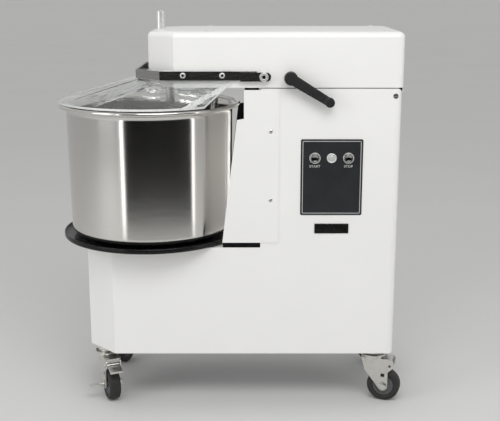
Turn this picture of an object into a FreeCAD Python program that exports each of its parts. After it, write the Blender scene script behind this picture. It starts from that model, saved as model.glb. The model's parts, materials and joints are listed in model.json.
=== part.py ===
import FreeCAD, Part
import math
import os

# Tilting-head spiral dough mixer on casters, millimetres, +Z up.
# While modelling, X = 0 and Y = 0 is the bowl's axis, Z = 0 is the floor, the column stands
# towards +X and the operator's side, with the buttons, faces -Y. At the end everything is
# moved along X, so that the origin lies under the middle of the machine.

Vec = FreeCAD.Vector
UP = Vec(0, 0, 1)
ALONG_X = Vec(1, 0, 0)
ALONG_Y = Vec(0, 1, 0)

# ---- driving dimensions ----------------------------------------------------------------
SHEET = 2.0                 # casing sheet
RUN = 0.05                  # running clearance of a shaft, on the radius
BODY_HALF = 150.0           # half the width of base, column and head
BASE_FRONT = -150.0
BODY_REAR = 587.0
BASE_BOTTOM = 130.0
BASE_TOP = 395.0
BASE_CHAMFER = 68.0         # front corners of the base, in plan
COLUMN_FRONT = 267.0
COLUMN_TOP = 767.0
COLUMN_ROUND = 12.0         # rounded rear top edge of the column
REAR_ROUND = 15.0           # vertical rear corners of casing and cover

HEAD_FRONT = 9.5
HEAD_REAR = 590.0
HEAD_BOTTOM = 769.0
HEAD_TOP = 893.0
HEAD_CHAMFER = 62.0
HEAD_ROUND = 14.0
HINGE_X = 572.0
HINGE_Z = 750.0
HINGE_PIN_R = 6.0
TILT = 50.0                 # how far the head tips back, degrees

BOWL_WALL_R = 200.0
BOWL_FOOT_R = 196.0
RIM_R = 219.0
RIM_TOP = 721.0
BOWL_BOTTOM = 409.0
BOWL_SHEET = 2.0
DISC_R = 216.0
DISC_BOTTOM = 397.0
DISC_TOP = 408.0
SPINDLE_R = 17.5

SPIRAL_X = 130.0            # spiral axis, from the bowl's axis
SPIRAL_ROD_R = 11.0
SPIRAL_TOP_R = 24.6         # where the rod hangs from its flange
SPIRAL_COIL_R = 49.0
SPIRAL_BOTTOM = 424.0
BREAKER_X = 49.5
BREAKER_R = 10.2
BREAKER_BOTTOM = 419.0
POST_X = 31.0
POST_R = 9.9
POST_TOP = 936.0

DRIVE_X = 350.0             # vertical drive shaft of the gear motor
DRIVE_R = 12.5
MOTOR_X = 490.0
MOTOR_R = 68.0
BOWL_SPROCKET_R = 108.0
DRIVE_SPROCKET_R = 30.0
HEAD_SPROCKET_R = 46.0
SPIRAL_SPROCKET_R = 23.0
BOWL_CHAIN_Z = 306.0
HEAD_CHAIN_Z = 806.0
CHAIN_GAP = 0.5

GUARD_PIVOT_X = 274.0
GUARD_PIVOT_Z = 794.0
GUARD_BAR = 5.0
GUARD_BAR_BOTTOM = 786.0
GUARD_BAR_TOP = 806.0
GUARD_SIDE = 158.0          # outer face of the side bars
GUARD_FRONT = -20.0
GUARD_CORNER = 60.0
LID_EDGE_R = 216.0
LID_EDGE_Z = 728.5
LID_TOP_Z = 784.0
LID_DROP = 5.0              # lid thickness, measured vertically
LID_REAR_TOP = 200.0
LID_REAR_EDGE = 140.0

LEVER_X = 334.5
LEVER_Z = 791.0
LEVER_LENGTH = 113.0
LEVER_ANGLE = -31.3         # rest direction, from +X towards +Z

BUTTON_Z = 608.5
START_X = 391.5
LAMP_X = 430.0
STOP_X = 468.5
BUTTON_R = 10.0

SPRING_Y = 95.0             # gas spring plane
SPRING_FOOT = (520.0, 580.0)
SPRING_HEAD = (490.0, 800.0)

WHEEL_R = 40.0
WHEEL_WIDTH = 28.0
TRAIL = 28.0
FORK_PLATE = 3.0
FRONT_CASTER = (-109.0, 92.0)
REAR_CASTER = (545.3, 112.0)
FRONT_YAW = -67.0          # how far each near caster is turned round, from +X
REAR_YAW = -18.0

GLAND_Y = 60.0
GLAND_Z = 160.0
GLAND_BORE_R = 5.0

MIDDLE_X = (HINGE_X + 1 + WHEEL_R - RIM_R) / 2   # middle of the machine's whole length


# ---- plain shapes ----------------------------------------------------------------------
def box(x0, x1, y0, y1, z0, z1):
    return Part.makeBox(x1 - x0, y1 - y0, z1 - z0, Vec(x0, y0, z0))


def rod_z(x, y, z0, z1, r):
    return Part.makeCylinder(r, z1 - z0, Vec(x, y, z0), UP)


def rod_y(x, z, y0, y1, r):
    return Part.makeCylinder(r, y1 - y0, Vec(x, y0, z), ALONG_Y)


def rod_x(y, z, x0, x1, r):
    return Part.makeCylinder(r, x1 - x0, Vec(x0, y, z), ALONG_X)


def plan_prism(points, z0, z1):
    corners = [Vec(x, y, z0) for x, y in points]
    return Part.Face(Part.makePolygon(corners + corners[:1])).extrude(Vec(0, 0, z1 - z0))


def side_prism(points, y0, y1):
    corners = [Vec(x, y0, z) for x, z in points]
    return Part.Face(Part.makePolygon(corners + corners[:1])).extrude(Vec(0, y1 - y0, 0))


def turned(points, x=0.0):
    corners = [Vec(r, 0, z) for r, z in points]
    solid = Part.Face(Part.makePolygon(corners + corners[:1])).revolve(Vec(0, 0, 0), UP, 360)
    solid.translate(Vec(x, 0, 0))
    return solid


def joined(shapes):
    whole = shapes[0]
    for shape in shapes[1:]:
        whole = whole.fuse(shape)
    return whole.removeSplitter()


def without(shape, cuts):
    for cut in cuts:
        shape = shape.cut(cut)
    return shape


def mirrored(shape):
    return shape.mirror(Vec(0, 0, 0), ALONG_Y)


def both_sides(shape):
    return [shape, mirrored(shape)]


# ---- casing outlines -------------------------------------------------------------------
def casing_plan(front, rear, half, chamfer, round_r, z0, z1):
    """Outline in plan: chamfered front corners and rounded rear corners."""
    k = round_r * (1 - math.sqrt(0.5))
    lines = [
        (Vec(rear, -half + round_r, z0), Vec(rear, half - round_r, z0)),
        (Vec(rear - round_r, half, z0), Vec(front + chamfer, half, z0)),
        (Vec(front + chamfer, half, z0), Vec(front, half - chamfer, z0)),
        (Vec(front, half - chamfer, z0), Vec(front, -half + chamfer, z0)),
        (Vec(front, -half + chamfer, z0), Vec(front + chamfer, -half, z0)),
        (Vec(front + chamfer, -half, z0), Vec(rear - round_r, -half, z0)),
    ]
    edges = [Part.makeLine(a, b) for a, b in lines if a.distanceToPoint(b) > 0.01]
    for side in (-1, 1):
        arc = Part.Arc(
            Vec(rear - round_r, side * half, z0),
            Vec(rear - k, side * (half - k), z0),
            Vec(rear, side * (half - round_r), z0),
        )
        edges.append(arc.toShape())
    wire = Part.Wire(Part.__sortEdges__(edges))
    return Part.Face(wire).extrude(Vec(0, 0, z1 - z0))


def casing_side(front, rear, column_front, bottom, step, top, round_r, half):
    """L-shaped side outline with a rounded rear top edge, as a block of the full width."""
    k = round_r * (1 - math.sqrt(0.5))
    corners = [
        Vec(rear - round_r, -half, top),
        Vec(column_front, -half, top),
        Vec(column_front, -half, step),
        Vec(front, -half, step),
        Vec(front, -half, bottom),
        Vec(rear, -half, bottom),
        Vec(rear, -half, top - round_r),
    ]
    edges = [Part.makeLine(a, b) for a, b in zip(corners, corners[1:])]
    arc = Part.Arc(corners[-1], Vec(rear - k, -half, top - k), corners[0])
    edges.append(arc.toShape())
    wire = Part.Wire(Part.__sortEdges__(edges))
    return Part.Face(wire).extrude(Vec(0, 2 * half, 0))


def casing_block(inset):
    """The solid inside the casing's surface, or inside its sheet when inset is the sheet."""
    chamfer = BASE_CHAMFER - inset * (2 - math.sqrt(2))
    side = casing_side(
        BASE_FRONT + inset, BODY_REAR - inset, COLUMN_FRONT + inset, BASE_BOTTOM - inset,
        BASE_TOP - inset, COLUMN_TOP - inset, COLUMN_ROUND - inset, BODY_HALF - inset,
    )
    plan = casing_plan(
        BASE_FRONT + inset, BODY_REAR - inset, BODY_HALF - inset, chamfer,
        REAR_ROUND - inset, BASE_BOTTOM - inset, COLUMN_TOP,
    )
    return side.common(plan)


REAR_OPENING = (112.0, 195.0, 695.0)         # half width, bottom, top
TOP_OPENING_FRONT = 285.0
TOP_OPENING_HALF = 115.0
REAR_NOTCH_Z = 757.5
COVER_SCREWS = [(115.0, 205.0), (115.0, 445.0), (115.0, 685.0)]
GAP_SCREWS = [(290.0, 510.0), (290.0, 670.0)]


# ---- casing and frame ------------------------------------------------------------------
def casing():
    """The whole folded and welded casing of base and column."""
    half, low, high = REAR_OPENING
    cuts = [
        casing_block(SHEET),
        box(BODY_REAR - 9, BODY_REAR + 9, -half, half, low, high),
        box(TOP_OPENING_FRONT, BODY_REAR - 16, -TOP_OPENING_HALF, TOP_OPENING_HALF,
            COLUMN_TOP - 9, COLUMN_TOP + 9),
        box(BODY_REAR - 17, BODY_REAR + 9, -TOP_OPENING_HALF, TOP_OPENING_HALF,
            REAR_NOTCH_Z, COLUMN_TOP + 9),
        rod_z(0, 0, BASE_TOP - 9, BASE_TOP + 9, 30),
        rod_y(HINGE_X, HINGE_Z, -BODY_HALF - 1, BODY_HALF + 1, HINGE_PIN_R),
        rod_x(GLAND_Y, GLAND_Z, BODY_REAR - 9, BODY_REAR + 9, 8),
    ]
    for x in (START_X, LAMP_X, STOP_X):
        cuts.append(rod_y(x, BUTTON_Z, -BODY_HALF - 1, -BODY_HALF + 9, BUTTON_R + 1))
    for x, z in GAP_SCREWS:
        cuts.append(rod_y(x, z, -BODY_HALF - 1, BODY_HALF + 1, 2.5))
    for y, z in COVER_SCREWS:
        for side in (-1, 1):
            cuts.append(rod_x(side * y, z, BODY_REAR - 9, BODY_REAR + 9, 2.5))
    return without(casing_block(0.0), cuts)


def casing_between(z0, z1):
    reach = BODY_HALF + 9
    return casing().common(box(BASE_FRONT - 9, BODY_REAR + 9, -reach, reach, z0, z1))


def base_casing():
    return casing_between(BASE_BOTTOM - 9, BASE_TOP)


def column_casing():
    """It stands on the base casing, and the two are welded edge to edge."""
    return casing_between(BASE_TOP, COLUMN_TOP + 9)


CHASSIS_TOP = BASE_BOTTOM + 6.0


def chassis_plate():
    return casing_plan(
        BASE_FRONT + SHEET, BODY_REAR - SHEET, BODY_HALF - SHEET,
        BASE_CHAMFER - SHEET * (2 - math.sqrt(2)), REAR_ROUND - SHEET,
        BASE_BOTTOM, CHASSIS_TOP,
    )


def rear_cover():
    half, low, high = REAR_OPENING
    plate = box(BODY_REAR, BODY_REAR + 1.5, -half - 11, half + 11, low - 12, high + 12)
    cuts = []
    for group in (low + 40, high - 110):
        for row in range(7):
            z = group + row * 11
            for side in (-1, 1):
                y = side * 48
                cuts.append(box(BODY_REAR - 1, BODY_REAR + 3, y - 34, y + 34, z, z + 4))
    for y, z in COVER_SCREWS:
        for side in (-1, 1):
            cuts.append(rod_x(side * y, z, BODY_REAR - 1, BODY_REAR + 3, 2.5))
    return without(plate, cuts)


def pan_screw(head_r, head_h, shank_r, length):
    """Screw along +Z with its head's seat at Z = 0 and a cross recess."""
    dome = Part.makeSphere(head_r * 1.6, Vec(0, 0, head_h - head_r * 1.6))
    head = rod_z(0, 0, 0, head_h, head_r).common(dome)
    shank = rod_z(0, 0, -length, 0, shank_r)
    recess = [
        box(-head_r * 0.55, head_r * 0.55, -0.5, 0.5, head_h * 0.45, head_h + 1),
        box(-0.5, 0.5, -head_r * 0.55, head_r * 0.55, head_h * 0.45, head_h + 1),
    ]
    return without(joined([head, shank]), recess)


def aimed(shape, direction, point):
    """A shape made along +Z, turned to face a direction and moved to a point."""
    turned_shape = shape.copy()
    turned_shape.Placement = FreeCAD.Placement(point, FreeCAD.Rotation(UP, direction))
    return turned_shape


def cover_screws():
    screw = pan_screw(4.6, 2.4, 2.4, 7.0)
    screws = []
    for y, z in COVER_SCREWS:
        for side in (-1, 1):
            screws.append(aimed(screw, ALONG_X, Vec(BODY_REAR + 1.5, side * y, z)))
    for x, z in GAP_SCREWS:
        for side in (-1, 1):
            seat = side * (BODY_HALF + SHEET)
            screws.append(aimed(screw, Vec(0, side, 0), Vec(x, seat, z)))
    return Part.makeCompound(screws)


FRAME_OUT = 142.0
FRAME_IN = 136.0
GEARBOX_BOTTOM = 480.0
GEARBOX_TOP = 560.0


def column_frame():
    side = side_prism(
        [(275, CHASSIS_TOP), (582, CHASSIS_TOP), (582, HINGE_Z), (573, 761), (275, 761)],
        -FRAME_OUT, -FRAME_IN,
    )
    window = box(325, 530, -FRAME_OUT - 1, -FRAME_IN + 1, 590, 700)
    low_window = box(330, 530, -FRAME_OUT - 1, -FRAME_IN + 1, 180, 400)
    side = without(side, [window, low_window])
    shelf = box(290, 575, -FRAME_IN, FRAME_IN, GEARBOX_BOTTOM - 8, GEARBOX_BOTTOM)
    shelf = without(shelf, [rod_z(DRIVE_X, 0, GEARBOX_BOTTOM - 9, GEARBOX_BOTTOM + 1, 22)])
    foot_x, foot_z = SPRING_FOOT
    spring_pin = rod_y(foot_x, foot_z, SPRING_Y - 10, FRAME_IN, 5)
    frame = joined(both_sides(side) + [shelf, spring_pin])
    pin_hole = rod_y(HINGE_X, HINGE_Z, -BODY_HALF, BODY_HALF, HINGE_PIN_R)
    return frame.cut(pin_hole)


def hinge_pin():
    pin = rod_y(HINGE_X, HINGE_Z, -BODY_HALF + 0.5, BODY_HALF - 0.5, HINGE_PIN_R)
    slots = [box(HINGE_X - 4, HINGE_X + 4, side * BODY_HALF - 2, side * BODY_HALF + 2,
                 HINGE_Z - 0.7, HINGE_Z + 0.7) for side in (-1, 1)]
    return without(pin, slots)


def gap_panel_near():
    outline = [(309, 407.5), (309, 764), (229, 764), (229, 699), (213, 696), (178, 407.5)]
    plate = side_prism(outline, -BODY_HALF - SHEET, -BODY_HALF)
    holes = [rod_y(x, z, -BODY_HALF - 5, -BODY_HALF + 5, 2.5) for x, z in GAP_SCREWS]
    return without(plate, holes)


def gap_panel_far():
    return mirrored(gap_panel_near())


def caster_plates():
    pieces = []
    for x, y in caster_centres():
        plate = rod_z(x, y, BASE_BOTTOM - 4, BASE_BOTTOM, 27)
        race = rod_z(x, y, BASE_BOTTOM - 11, BASE_BOTTOM - 4, 22)
        pin = rod_z(x, y, BASE_BOTTOM - 24, BASE_BOTTOM - 4, 6)
        head = rod_z(x, y, BASE_BOTTOM - 27, BASE_BOTTOM - 24, 10)
        pieces.append(joined([plate, race, pin, head]))
    return Part.makeCompound(pieces)


# ---- controls --------------------------------------------------------------------------
PANEL = (359.0, 501.5, 474.0, 652.0)
PANEL_THICK = 1.2
BEZEL_R = 12.7


def rounded_plate(x0, x1, z0, z1, y0, y1, r):
    plate = box(x0, x1, y0, y1, z0, z1)
    corners = [edge for edge in plate.Edges
               if abs(edge.Vertexes[0].Y - edge.Vertexes[1].Y) > 0.01]
    return plate.makeFillet(r, corners)


def control_panel():
    x0, x1, z0, z1 = PANEL
    plate = rounded_plate(x0, x1, z0, z1, -BODY_HALF - PANEL_THICK, -BODY_HALF, 4)
    holes = [rod_y(x, BUTTON_Z, -BODY_HALF - 5, -BODY_HALF + 1, BUTTON_R + 1)
             for x in (START_X, LAMP_X, STOP_X)]
    return without(plate, holes)


def name_plate():
    return rounded_plate(392, 473, 429, 454, -BODY_HALF - 0.8, -BODY_HALF, 2)


def button_bezels():
    face = -BODY_HALF - PANEL_THICK
    pieces = []
    for x in (START_X, STOP_X):
        ring = rod_y(x, BUTTON_Z, face - 3.5, face, BEZEL_R)
        barrel = rod_y(x, BUTTON_Z, face, -138, BUTTON_R + 0.9)
        block = box(x - 14, x + 14, -138, -108, BUTTON_Z - 14, BUTTON_Z + 14)
        solid = joined([ring, barrel, block])
        well = rod_y(x, BUTTON_Z, face - 4, -138, BUTTON_R + 0.3)
        stem_hole = rod_y(x, BUTTON_Z, -139, -107, 5.4)
        pieces.append(without(solid, [well, stem_hole]))
    return Part.makeCompound(pieces)


def push_button(x):
    face = -BODY_HALF - PANEL_THICK
    cap = rod_y(x, BUTTON_Z, face - 6.5, face + 3, BUTTON_R)
    cap = cap.makeFillet(1.2, [e for e in cap.Edges if abs(e.BoundBox.YMax - face + 6.5) < 0.01])
    stem = rod_y(x, BUTTON_Z, face + 3, -116, 5)
    return joined([cap, stem])


def start_button():
    return push_button(START_X)


def stop_button():
    return push_button(STOP_X)


def signal_lamp():
    face = -BODY_HALF - PANEL_THICK
    ring = rod_y(LAMP_X, BUTTON_Z, face - 2.5, face, 11.4)
    barrel = rod_y(LAMP_X, BUTTON_Z, face, -125, 9)
    reach = 14.0
    ball = Part.makeSphere(reach, Vec(LAMP_X, face - 5.5 + reach, BUTTON_Z))
    lens = rod_y(LAMP_X, BUTTON_Z, face - 6, face - 2, 9).common(ball)
    return joined([ring, barrel, lens])


def control_box():
    low, high = GEARBOX_BOTTOM + 4, GEARBOX_BOTTOM + 100
    return box(360, 530, -FRAME_IN, -90, low, high).cut(
        box(362, 528, -FRAME_IN + 2, -92, low + 2, high - 2))


def cable_gland():
    collar = rod_x(GLAND_Y, GLAND_Z, BODY_REAR, BODY_REAR + 8, 14)
    flats = box(BODY_REAR, BODY_REAR + 8, GLAND_Y - 12, GLAND_Y + 12,
                GLAND_Z - 14, GLAND_Z + 14)
    nut = Part.makeCone(11, 8.5, 13, Vec(BODY_REAR + 8, GLAND_Y, GLAND_Z), ALONG_X)
    thread = rod_x(GLAND_Y, GLAND_Z, BODY_REAR - 12, BODY_REAR, 8)
    lock_nut = rod_x(GLAND_Y, GLAND_Z, BODY_REAR - SHEET - 5, BODY_REAR - SHEET, 12)
    gland = joined([collar.common(flats), nut, thread, lock_nut])
    return gland.cut(rod_x(GLAND_Y, GLAND_Z, BODY_REAR - 13, BODY_REAR + 22, GLAND_BORE_R))


# ---- drive -----------------------------------------------------------------------------
def motor():
    can = rod_z(MOTOR_X, 0, GEARBOX_TOP + 8, GEARBOX_TOP + 158, MOTOR_R)
    fins = []
    for step in range(24):
        fin = box(MOTOR_R - 2, MOTOR_R + 4, -1.5, 1.5, GEARBOX_TOP + 20, GEARBOX_TOP + 120)
        fin.rotate(Vec(0, 0, 0), UP, step * 15)
        fin.translate(Vec(MOTOR_X, 0, 0))
        fins.append(fin)
    flange = rod_z(MOTOR_X, 0, GEARBOX_TOP, GEARBOX_TOP + 8, MOTOR_R + 2)
    fan_cover = rod_z(MOTOR_X, 0, GEARBOX_TOP + 130, GEARBOX_TOP + 175, MOTOR_R + 3)
    return joined([can, flange, fan_cover] + fins)


def gearbox():
    case = box(DRIVE_X - 50, MOTOR_X + 72, -74, 74, GEARBOX_BOTTOM, GEARBOX_TOP)
    upright = [e for e in case.Edges if abs(e.Vertexes[0].Z - e.Vertexes[1].Z) > 1]
    case = case.makeFillet(20, upright)
    boss = rod_z(DRIVE_X, 0, GEARBOX_TOP, GEARBOX_TOP + 20, 30)
    return joined([case, boss]).cut(
        rod_z(DRIVE_X, 0, GEARBOX_BOTTOM - 1, GEARBOX_TOP + 21, DRIVE_R + RUN))


def sprocket(x, z, pitch_r, bore_r, hub_r, hub_h):
    """Chain wheel: flat disc with rounded tooth gaps on its edge, and a hub below."""
    disc = rod_z(x, 0, z - 3, z + 3, pitch_r)
    teeth = max(12, int(pitch_r / 2.2))
    gaps = []
    for step in range(teeth):
        angle = 2 * math.pi * step / teeth
        gx = x + (pitch_r + 1.2) * math.cos(angle)
        gy = (pitch_r + 1.2) * math.sin(angle)
        gaps.append(rod_z(gx, gy, z - 4, z + 4, 3.0))
    hub = rod_z(x, 0, z - 3 - hub_h, z, hub_r)
    wheel = disc.cut(Part.makeCompound(gaps))
    return joined([wheel, hub]).cut(rod_z(x, 0, z - 30, z + 9, bore_r))


def chain(x0, r0, x1, r1, z):
    """Closed loop round two chain wheels on one line along X."""
    def loop(extra):
        a, b = r0 + extra, r1 + extra
        lean = (a - b) / (x1 - x0)
        slope = math.sqrt(1 - lean * lean)
        pads = [rod_z(x0, 0, z - 4, z + 4, a), rod_z(x1, 0, z - 4, z + 4, b)]
        band = plan_prism([
            (x0 + a * lean, a * slope), (x1 + b * lean, b * slope),
            (x1 + b * lean, -b * slope), (x0 + a * lean, -a * slope),
        ], z - 4, z + 4)
        return joined(pads + [band])
    return loop(CHAIN_GAP + 5).cut(loop(CHAIN_GAP))


def bowl_chain():
    return chain(0, BOWL_SPROCKET_R, DRIVE_X, DRIVE_SPROCKET_R, BOWL_CHAIN_Z)


def head_chain():
    return chain(SPIRAL_X, SPIRAL_SPROCKET_R, DRIVE_X, HEAD_SPROCKET_R, HEAD_CHAIN_Z)


def coupling_dogs(z0, z1, first_angle):
    dogs = []
    for step in range(3):
        sector = Part.makeCylinder(22, z1 - z0, Vec(0, 0, z0), UP, 48)
        dog = sector.cut(rod_z(0, 0, z0 - 1, z1 + 1, 11))
        dog.rotate(Vec(0, 0, 0), UP, first_angle + step * 120)
        dog.translate(Vec(DRIVE_X, 0, 0))
        dogs.append(dog)
    return dogs


COUPLING_Z = 757.0


def drive_shaft():
    shaft = rod_z(DRIVE_X, 0, BOWL_CHAIN_Z - 18, COUPLING_Z - 5, DRIVE_R)
    plate = rod_z(DRIVE_X, 0, COUPLING_Z - 19, COUPLING_Z - 5, 22)
    return joined([shaft, plate] + coupling_dogs(COUPLING_Z - 5, COUPLING_Z + 3, 0))


def drive_sprocket():
    return sprocket(DRIVE_X, BOWL_CHAIN_Z, DRIVE_SPROCKET_R, DRIVE_R, 19, 12)


def head_shaft():
    plate = rod_z(DRIVE_X, 0, COUPLING_Z + 5, COUPLING_Z + 16, 22)
    shaft = rod_z(DRIVE_X, 0, COUPLING_Z + 16, 834, DRIVE_R)
    return joined([plate, shaft] + coupling_dogs(COUPLING_Z - 3, COUPLING_Z + 5, 60))


def head_sprocket():
    return sprocket(DRIVE_X, HEAD_CHAIN_Z, HEAD_SPROCKET_R, DRIVE_R, 19, 10)


def spiral_sprocket():
    return sprocket(SPIRAL_X, HEAD_CHAIN_Z, SPIRAL_SPROCKET_R, 13, 17, 4)


# ---- bowl ------------------------------------------------------------------------------
BRIDGE_TOP = BASE_TOP - SHEET
HOUSING_TOP = BRIDGE_TOP - 8


def spindle_bridge():
    """A plate on four legs, with the bowl's bearing housing welded under it."""
    plate = box(-95, 115, -130, 130, HOUSING_TOP, BRIDGE_TOP)
    legs = [box(x - 8, x + 8, y - 8, y + 8, CHASSIS_TOP, HOUSING_TOP)
            for x in (-60, 107) for y in (-122, 122)]
    barrel = rod_z(0, 0, HOUSING_TOP - 58, HOUSING_TOP, 42)
    flange = rod_z(0, 0, HOUSING_TOP - 9, HOUSING_TOP, 62)
    return without(joined([plate, barrel, flange] + legs), [
        rod_z(0, 0, HOUSING_TOP - 1, BRIDGE_TOP + 1, 24),
        rod_z(0, 0, HOUSING_TOP - 59, HOUSING_TOP, 31),
    ])


def bearing(x, z0, bore_r, outer_r, height):
    """Ball bearing drawn as one ring with a groove in both faces."""
    ring = rod_z(x, 0, z0, z0 + height, outer_r).cut(rod_z(x, 0, z0 - 1, z0 + height + 1, bore_r))
    middle = (bore_r + outer_r) / 2
    for face in (z0, z0 + height - 1.5):
        groove = rod_z(x, 0, face, face + 1.5, middle + 2).cut(
            rod_z(x, 0, face, face + 1.5, middle - 2))
        ring = ring.cut(groove)
    return ring


def bowl_bearings():
    return Part.makeCompound([
        bearing(0, z, SPINDLE_R + RUN, 30.98, 15) for z in (HOUSING_TOP - 56, HOUSING_TOP - 20)])


def bowl_spindle():
    return joined([
        rod_z(0, 0, BOWL_CHAIN_Z - 12, DISC_BOTTOM, SPINDLE_R),
        rod_z(0, 0, HOUSING_TOP + 2, DISC_BOTTOM, 22),
    ])


def bowl_sprocket():
    wheel = sprocket(0, BOWL_CHAIN_Z, BOWL_SPROCKET_R, SPINDLE_R, 30, 8)
    windows = []
    for step in range(5):
        angle = math.radians(72 * step)
        windows.append(rod_z(66 * math.cos(angle), 66 * math.sin(angle),
                             BOWL_CHAIN_Z - 5, BOWL_CHAIN_Z + 5, 22))
    return without(wheel, windows)


def turntable_disc():
    return turned([
        (0, DISC_BOTTOM), (DISC_R - 2, DISC_BOTTOM), (DISC_R, DISC_BOTTOM + 2),
        (DISC_R, DISC_TOP - 1), (DISC_R - 1, DISC_TOP), (DISC_R - 4, DISC_TOP),
        (DISC_R - 8, DISC_BOTTOM + 4), (150, DISC_BOTTOM + 4), (146, BOWL_BOTTOM),
        (0, BOWL_BOTTOM),
    ])


RIM_BEAD_R = 4.6
FLARE_Z = RIM_TOP - 21.0
BOWL_CORNER = 14.0


def bowl_bottom():
    """Round sheet welded into the wall's turned-in foot."""
    return rod_z(0, 0, BOWL_BOTTOM, BOWL_BOTTOM + BOWL_SHEET, BOWL_FOOT_R - BOWL_CORNER)


def bowl_wall():
    bead_x = RIM_R - RIM_BEAD_R
    bead_z = RIM_TOP - RIM_BEAD_R
    t = BOWL_SHEET
    steps = 6
    corner = BOWL_CORNER

    def wall(inset):
        points = []
        for step in range(steps + 1):
            angle = math.radians(90 * step / steps)
            points.append((BOWL_FOOT_R - corner + (corner - inset) * math.sin(angle),
                           BOWL_BOTTOM + corner - (corner - inset) * math.cos(angle)))
        points.append((BOWL_WALL_R - inset, FLARE_Z))
        return points

    outer = wall(0.0) + [(bead_x - 1.5, bead_z - 3.5)]
    inner = wall(t) + [(bead_x - 4.0, bead_z)]
    shell = turned(outer + inner[::-1])
    bead = Part.makeTorus(bead_x, RIM_BEAD_R, Vec(0, 0, bead_z), UP)
    return joined([shell, bead])


# ---- head ------------------------------------------------------------------------------
def head_block(inset, bottom):
    chamfer = HEAD_CHAMFER - inset * (2 - math.sqrt(2))
    block = casing_plan(
        HEAD_FRONT + inset, HEAD_REAR - inset, BODY_HALF - inset, chamfer,
        REAR_ROUND - inset, bottom, HEAD_TOP - inset,
    )
    rim = [e for e in block.Edges if e.BoundBox.ZMin > HEAD_TOP - inset - 0.01]
    return block.makeFillet(HEAD_ROUND - inset, rim)


def head_cover():
    skirt = box(HEAD_REAR - 1.5, HEAD_REAR, -BODY_HALF + REAR_ROUND, BODY_HALF - REAR_ROUND,
                COLUMN_TOP - 10, HEAD_BOTTOM + 6)
    cover = joined([head_block(0.0, HEAD_BOTTOM).cut(head_block(SHEET, HEAD_BOTTOM - 1)), skirt])
    holes = [
        rod_z(POST_X, 0, HEAD_TOP - 9, HEAD_TOP + 9, POST_R + 0.3),
        rod_y(LEVER_X, LEVER_Z, -BODY_HALF - 1, -BODY_HALF + 9, 8 + RUN),
    ]
    for side in (-1, 1):
        middle = side * (BODY_HALF - 1)
        holes.append(rod_y(GUARD_PIVOT_X, GUARD_PIVOT_Z, middle - 4, middle + 4, 5))
    return without(cover, holes)


BASE_PLATE_BOTTOM = HEAD_BOTTOM + 2
BASE_PLATE_TOP = HEAD_BOTTOM + 5
BEAM_IN = 60.0
BEAM_OUT = 66.0
BEAM_FLOOR = BASE_PLATE_TOP + 8


def head_base_plate():
    plate = casing_plan(
        HEAD_FRONT + SHEET, 300, BODY_HALF - SHEET, HEAD_CHAMFER - SHEET * (2 - math.sqrt(2)),
        0.5, BASE_PLATE_BOTTOM, BASE_PLATE_TOP,
    )
    return without(plate, [
        rod_z(SPIRAL_X, 0, BASE_PLATE_BOTTOM - 1, BASE_PLATE_TOP + 1, 20),
        rod_z(BREAKER_X, 0, BASE_PLATE_BOTTOM - 1, BASE_PLATE_TOP + 1, BREAKER_R + 0.02),
    ])


def head_frame():
    lean = math.radians(TILT)
    eye = HINGE_PIN_R + 5
    ahead = (-math.sin(lean), math.cos(lean))
    across = (eye * math.cos(lean), eye * math.sin(lean))
    rear_foot = (HINGE_X + across[0], HINGE_Z + across[1])
    front_foot = (HINGE_X - across[0], HINGE_Z - across[1])
    strap = [
        rear_foot,
        (rear_foot[0] + 62 * ahead[0], rear_foot[1] + 62 * ahead[1]),
        (front_foot[0] + 92 * ahead[0], front_foot[1] + 92 * ahead[1]),
        front_foot,
    ]
    side = joined([
        box(90, 536, -BEAM_OUT, -BEAM_IN, BASE_PLATE_TOP, 850),
        side_prism(strap, -BEAM_OUT, -BEAM_IN),
        rod_y(HINGE_X, HINGE_Z, -BEAM_OUT, -BEAM_IN, eye),
    ])
    floor = box(18, 536, -BEAM_IN, BEAM_IN, BASE_PLATE_TOP, BEAM_FLOOR)
    nose = box(18, 90, -BEAM_OUT, BEAM_OUT, BASE_PLATE_TOP, BEAM_FLOOR)
    brace = box(520, 526, -BEAM_IN, BEAM_IN, BEAM_FLOOR, 840)
    lug_x, lug_z = SPRING_HEAD
    spring_pin = rod_y(lug_x, lug_z, BEAM_OUT, SPRING_Y + 10, 5)
    frame = joined(both_sides(side) + [floor, nose, brace, spring_pin])
    return without(frame, [
        rod_y(HINGE_X, HINGE_Z, -BEAM_OUT - 1, BEAM_OUT + 1, HINGE_PIN_R + RUN),
        rod_z(DRIVE_X, 0, BASE_PLATE_TOP - 1, BEAM_FLOOR + 1, DRIVE_R + RUN),
        rod_z(SPIRAL_X, 0, BASE_PLATE_TOP - 1, BEAM_FLOOR + 1, 28),
        rod_z(BREAKER_X, 0, BASE_PLATE_TOP - 1, BEAM_FLOOR + 1, BREAKER_R + 0.02),
    ])


def spiral_bearing_housing():
    cap_z = BEAM_FLOOR + 54
    bridge = box(SPIRAL_X - 24, SPIRAL_X + 24, -BEAM_IN, BEAM_IN, cap_z - 10, cap_z)
    cup = rod_z(SPIRAL_X, 0, cap_z - 25, cap_z, 33)
    lower = rod_z(SPIRAL_X, 0, BASE_PLATE_TOP, BEAM_FLOOR, 27.98)
    top = joined([bridge, cup]).cut(rod_z(SPIRAL_X, 0, cap_z - 27, cap_z + 1, 26))
    bottom = lower.cut(rod_z(SPIRAL_X, 0, BASE_PLATE_TOP - 1, BEAM_FLOOR + 1, 26))
    return Part.makeCompound([top, bottom])


def spiral_bearings():
    cap_z = BEAM_FLOOR + 54
    return Part.makeCompound([
        bearing(SPIRAL_X, BASE_PLATE_TOP, 13 + RUN, 25.98, 8),
        bearing(SPIRAL_X, cap_z - 18, 13 + RUN, 25.98, 14),
    ])


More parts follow.
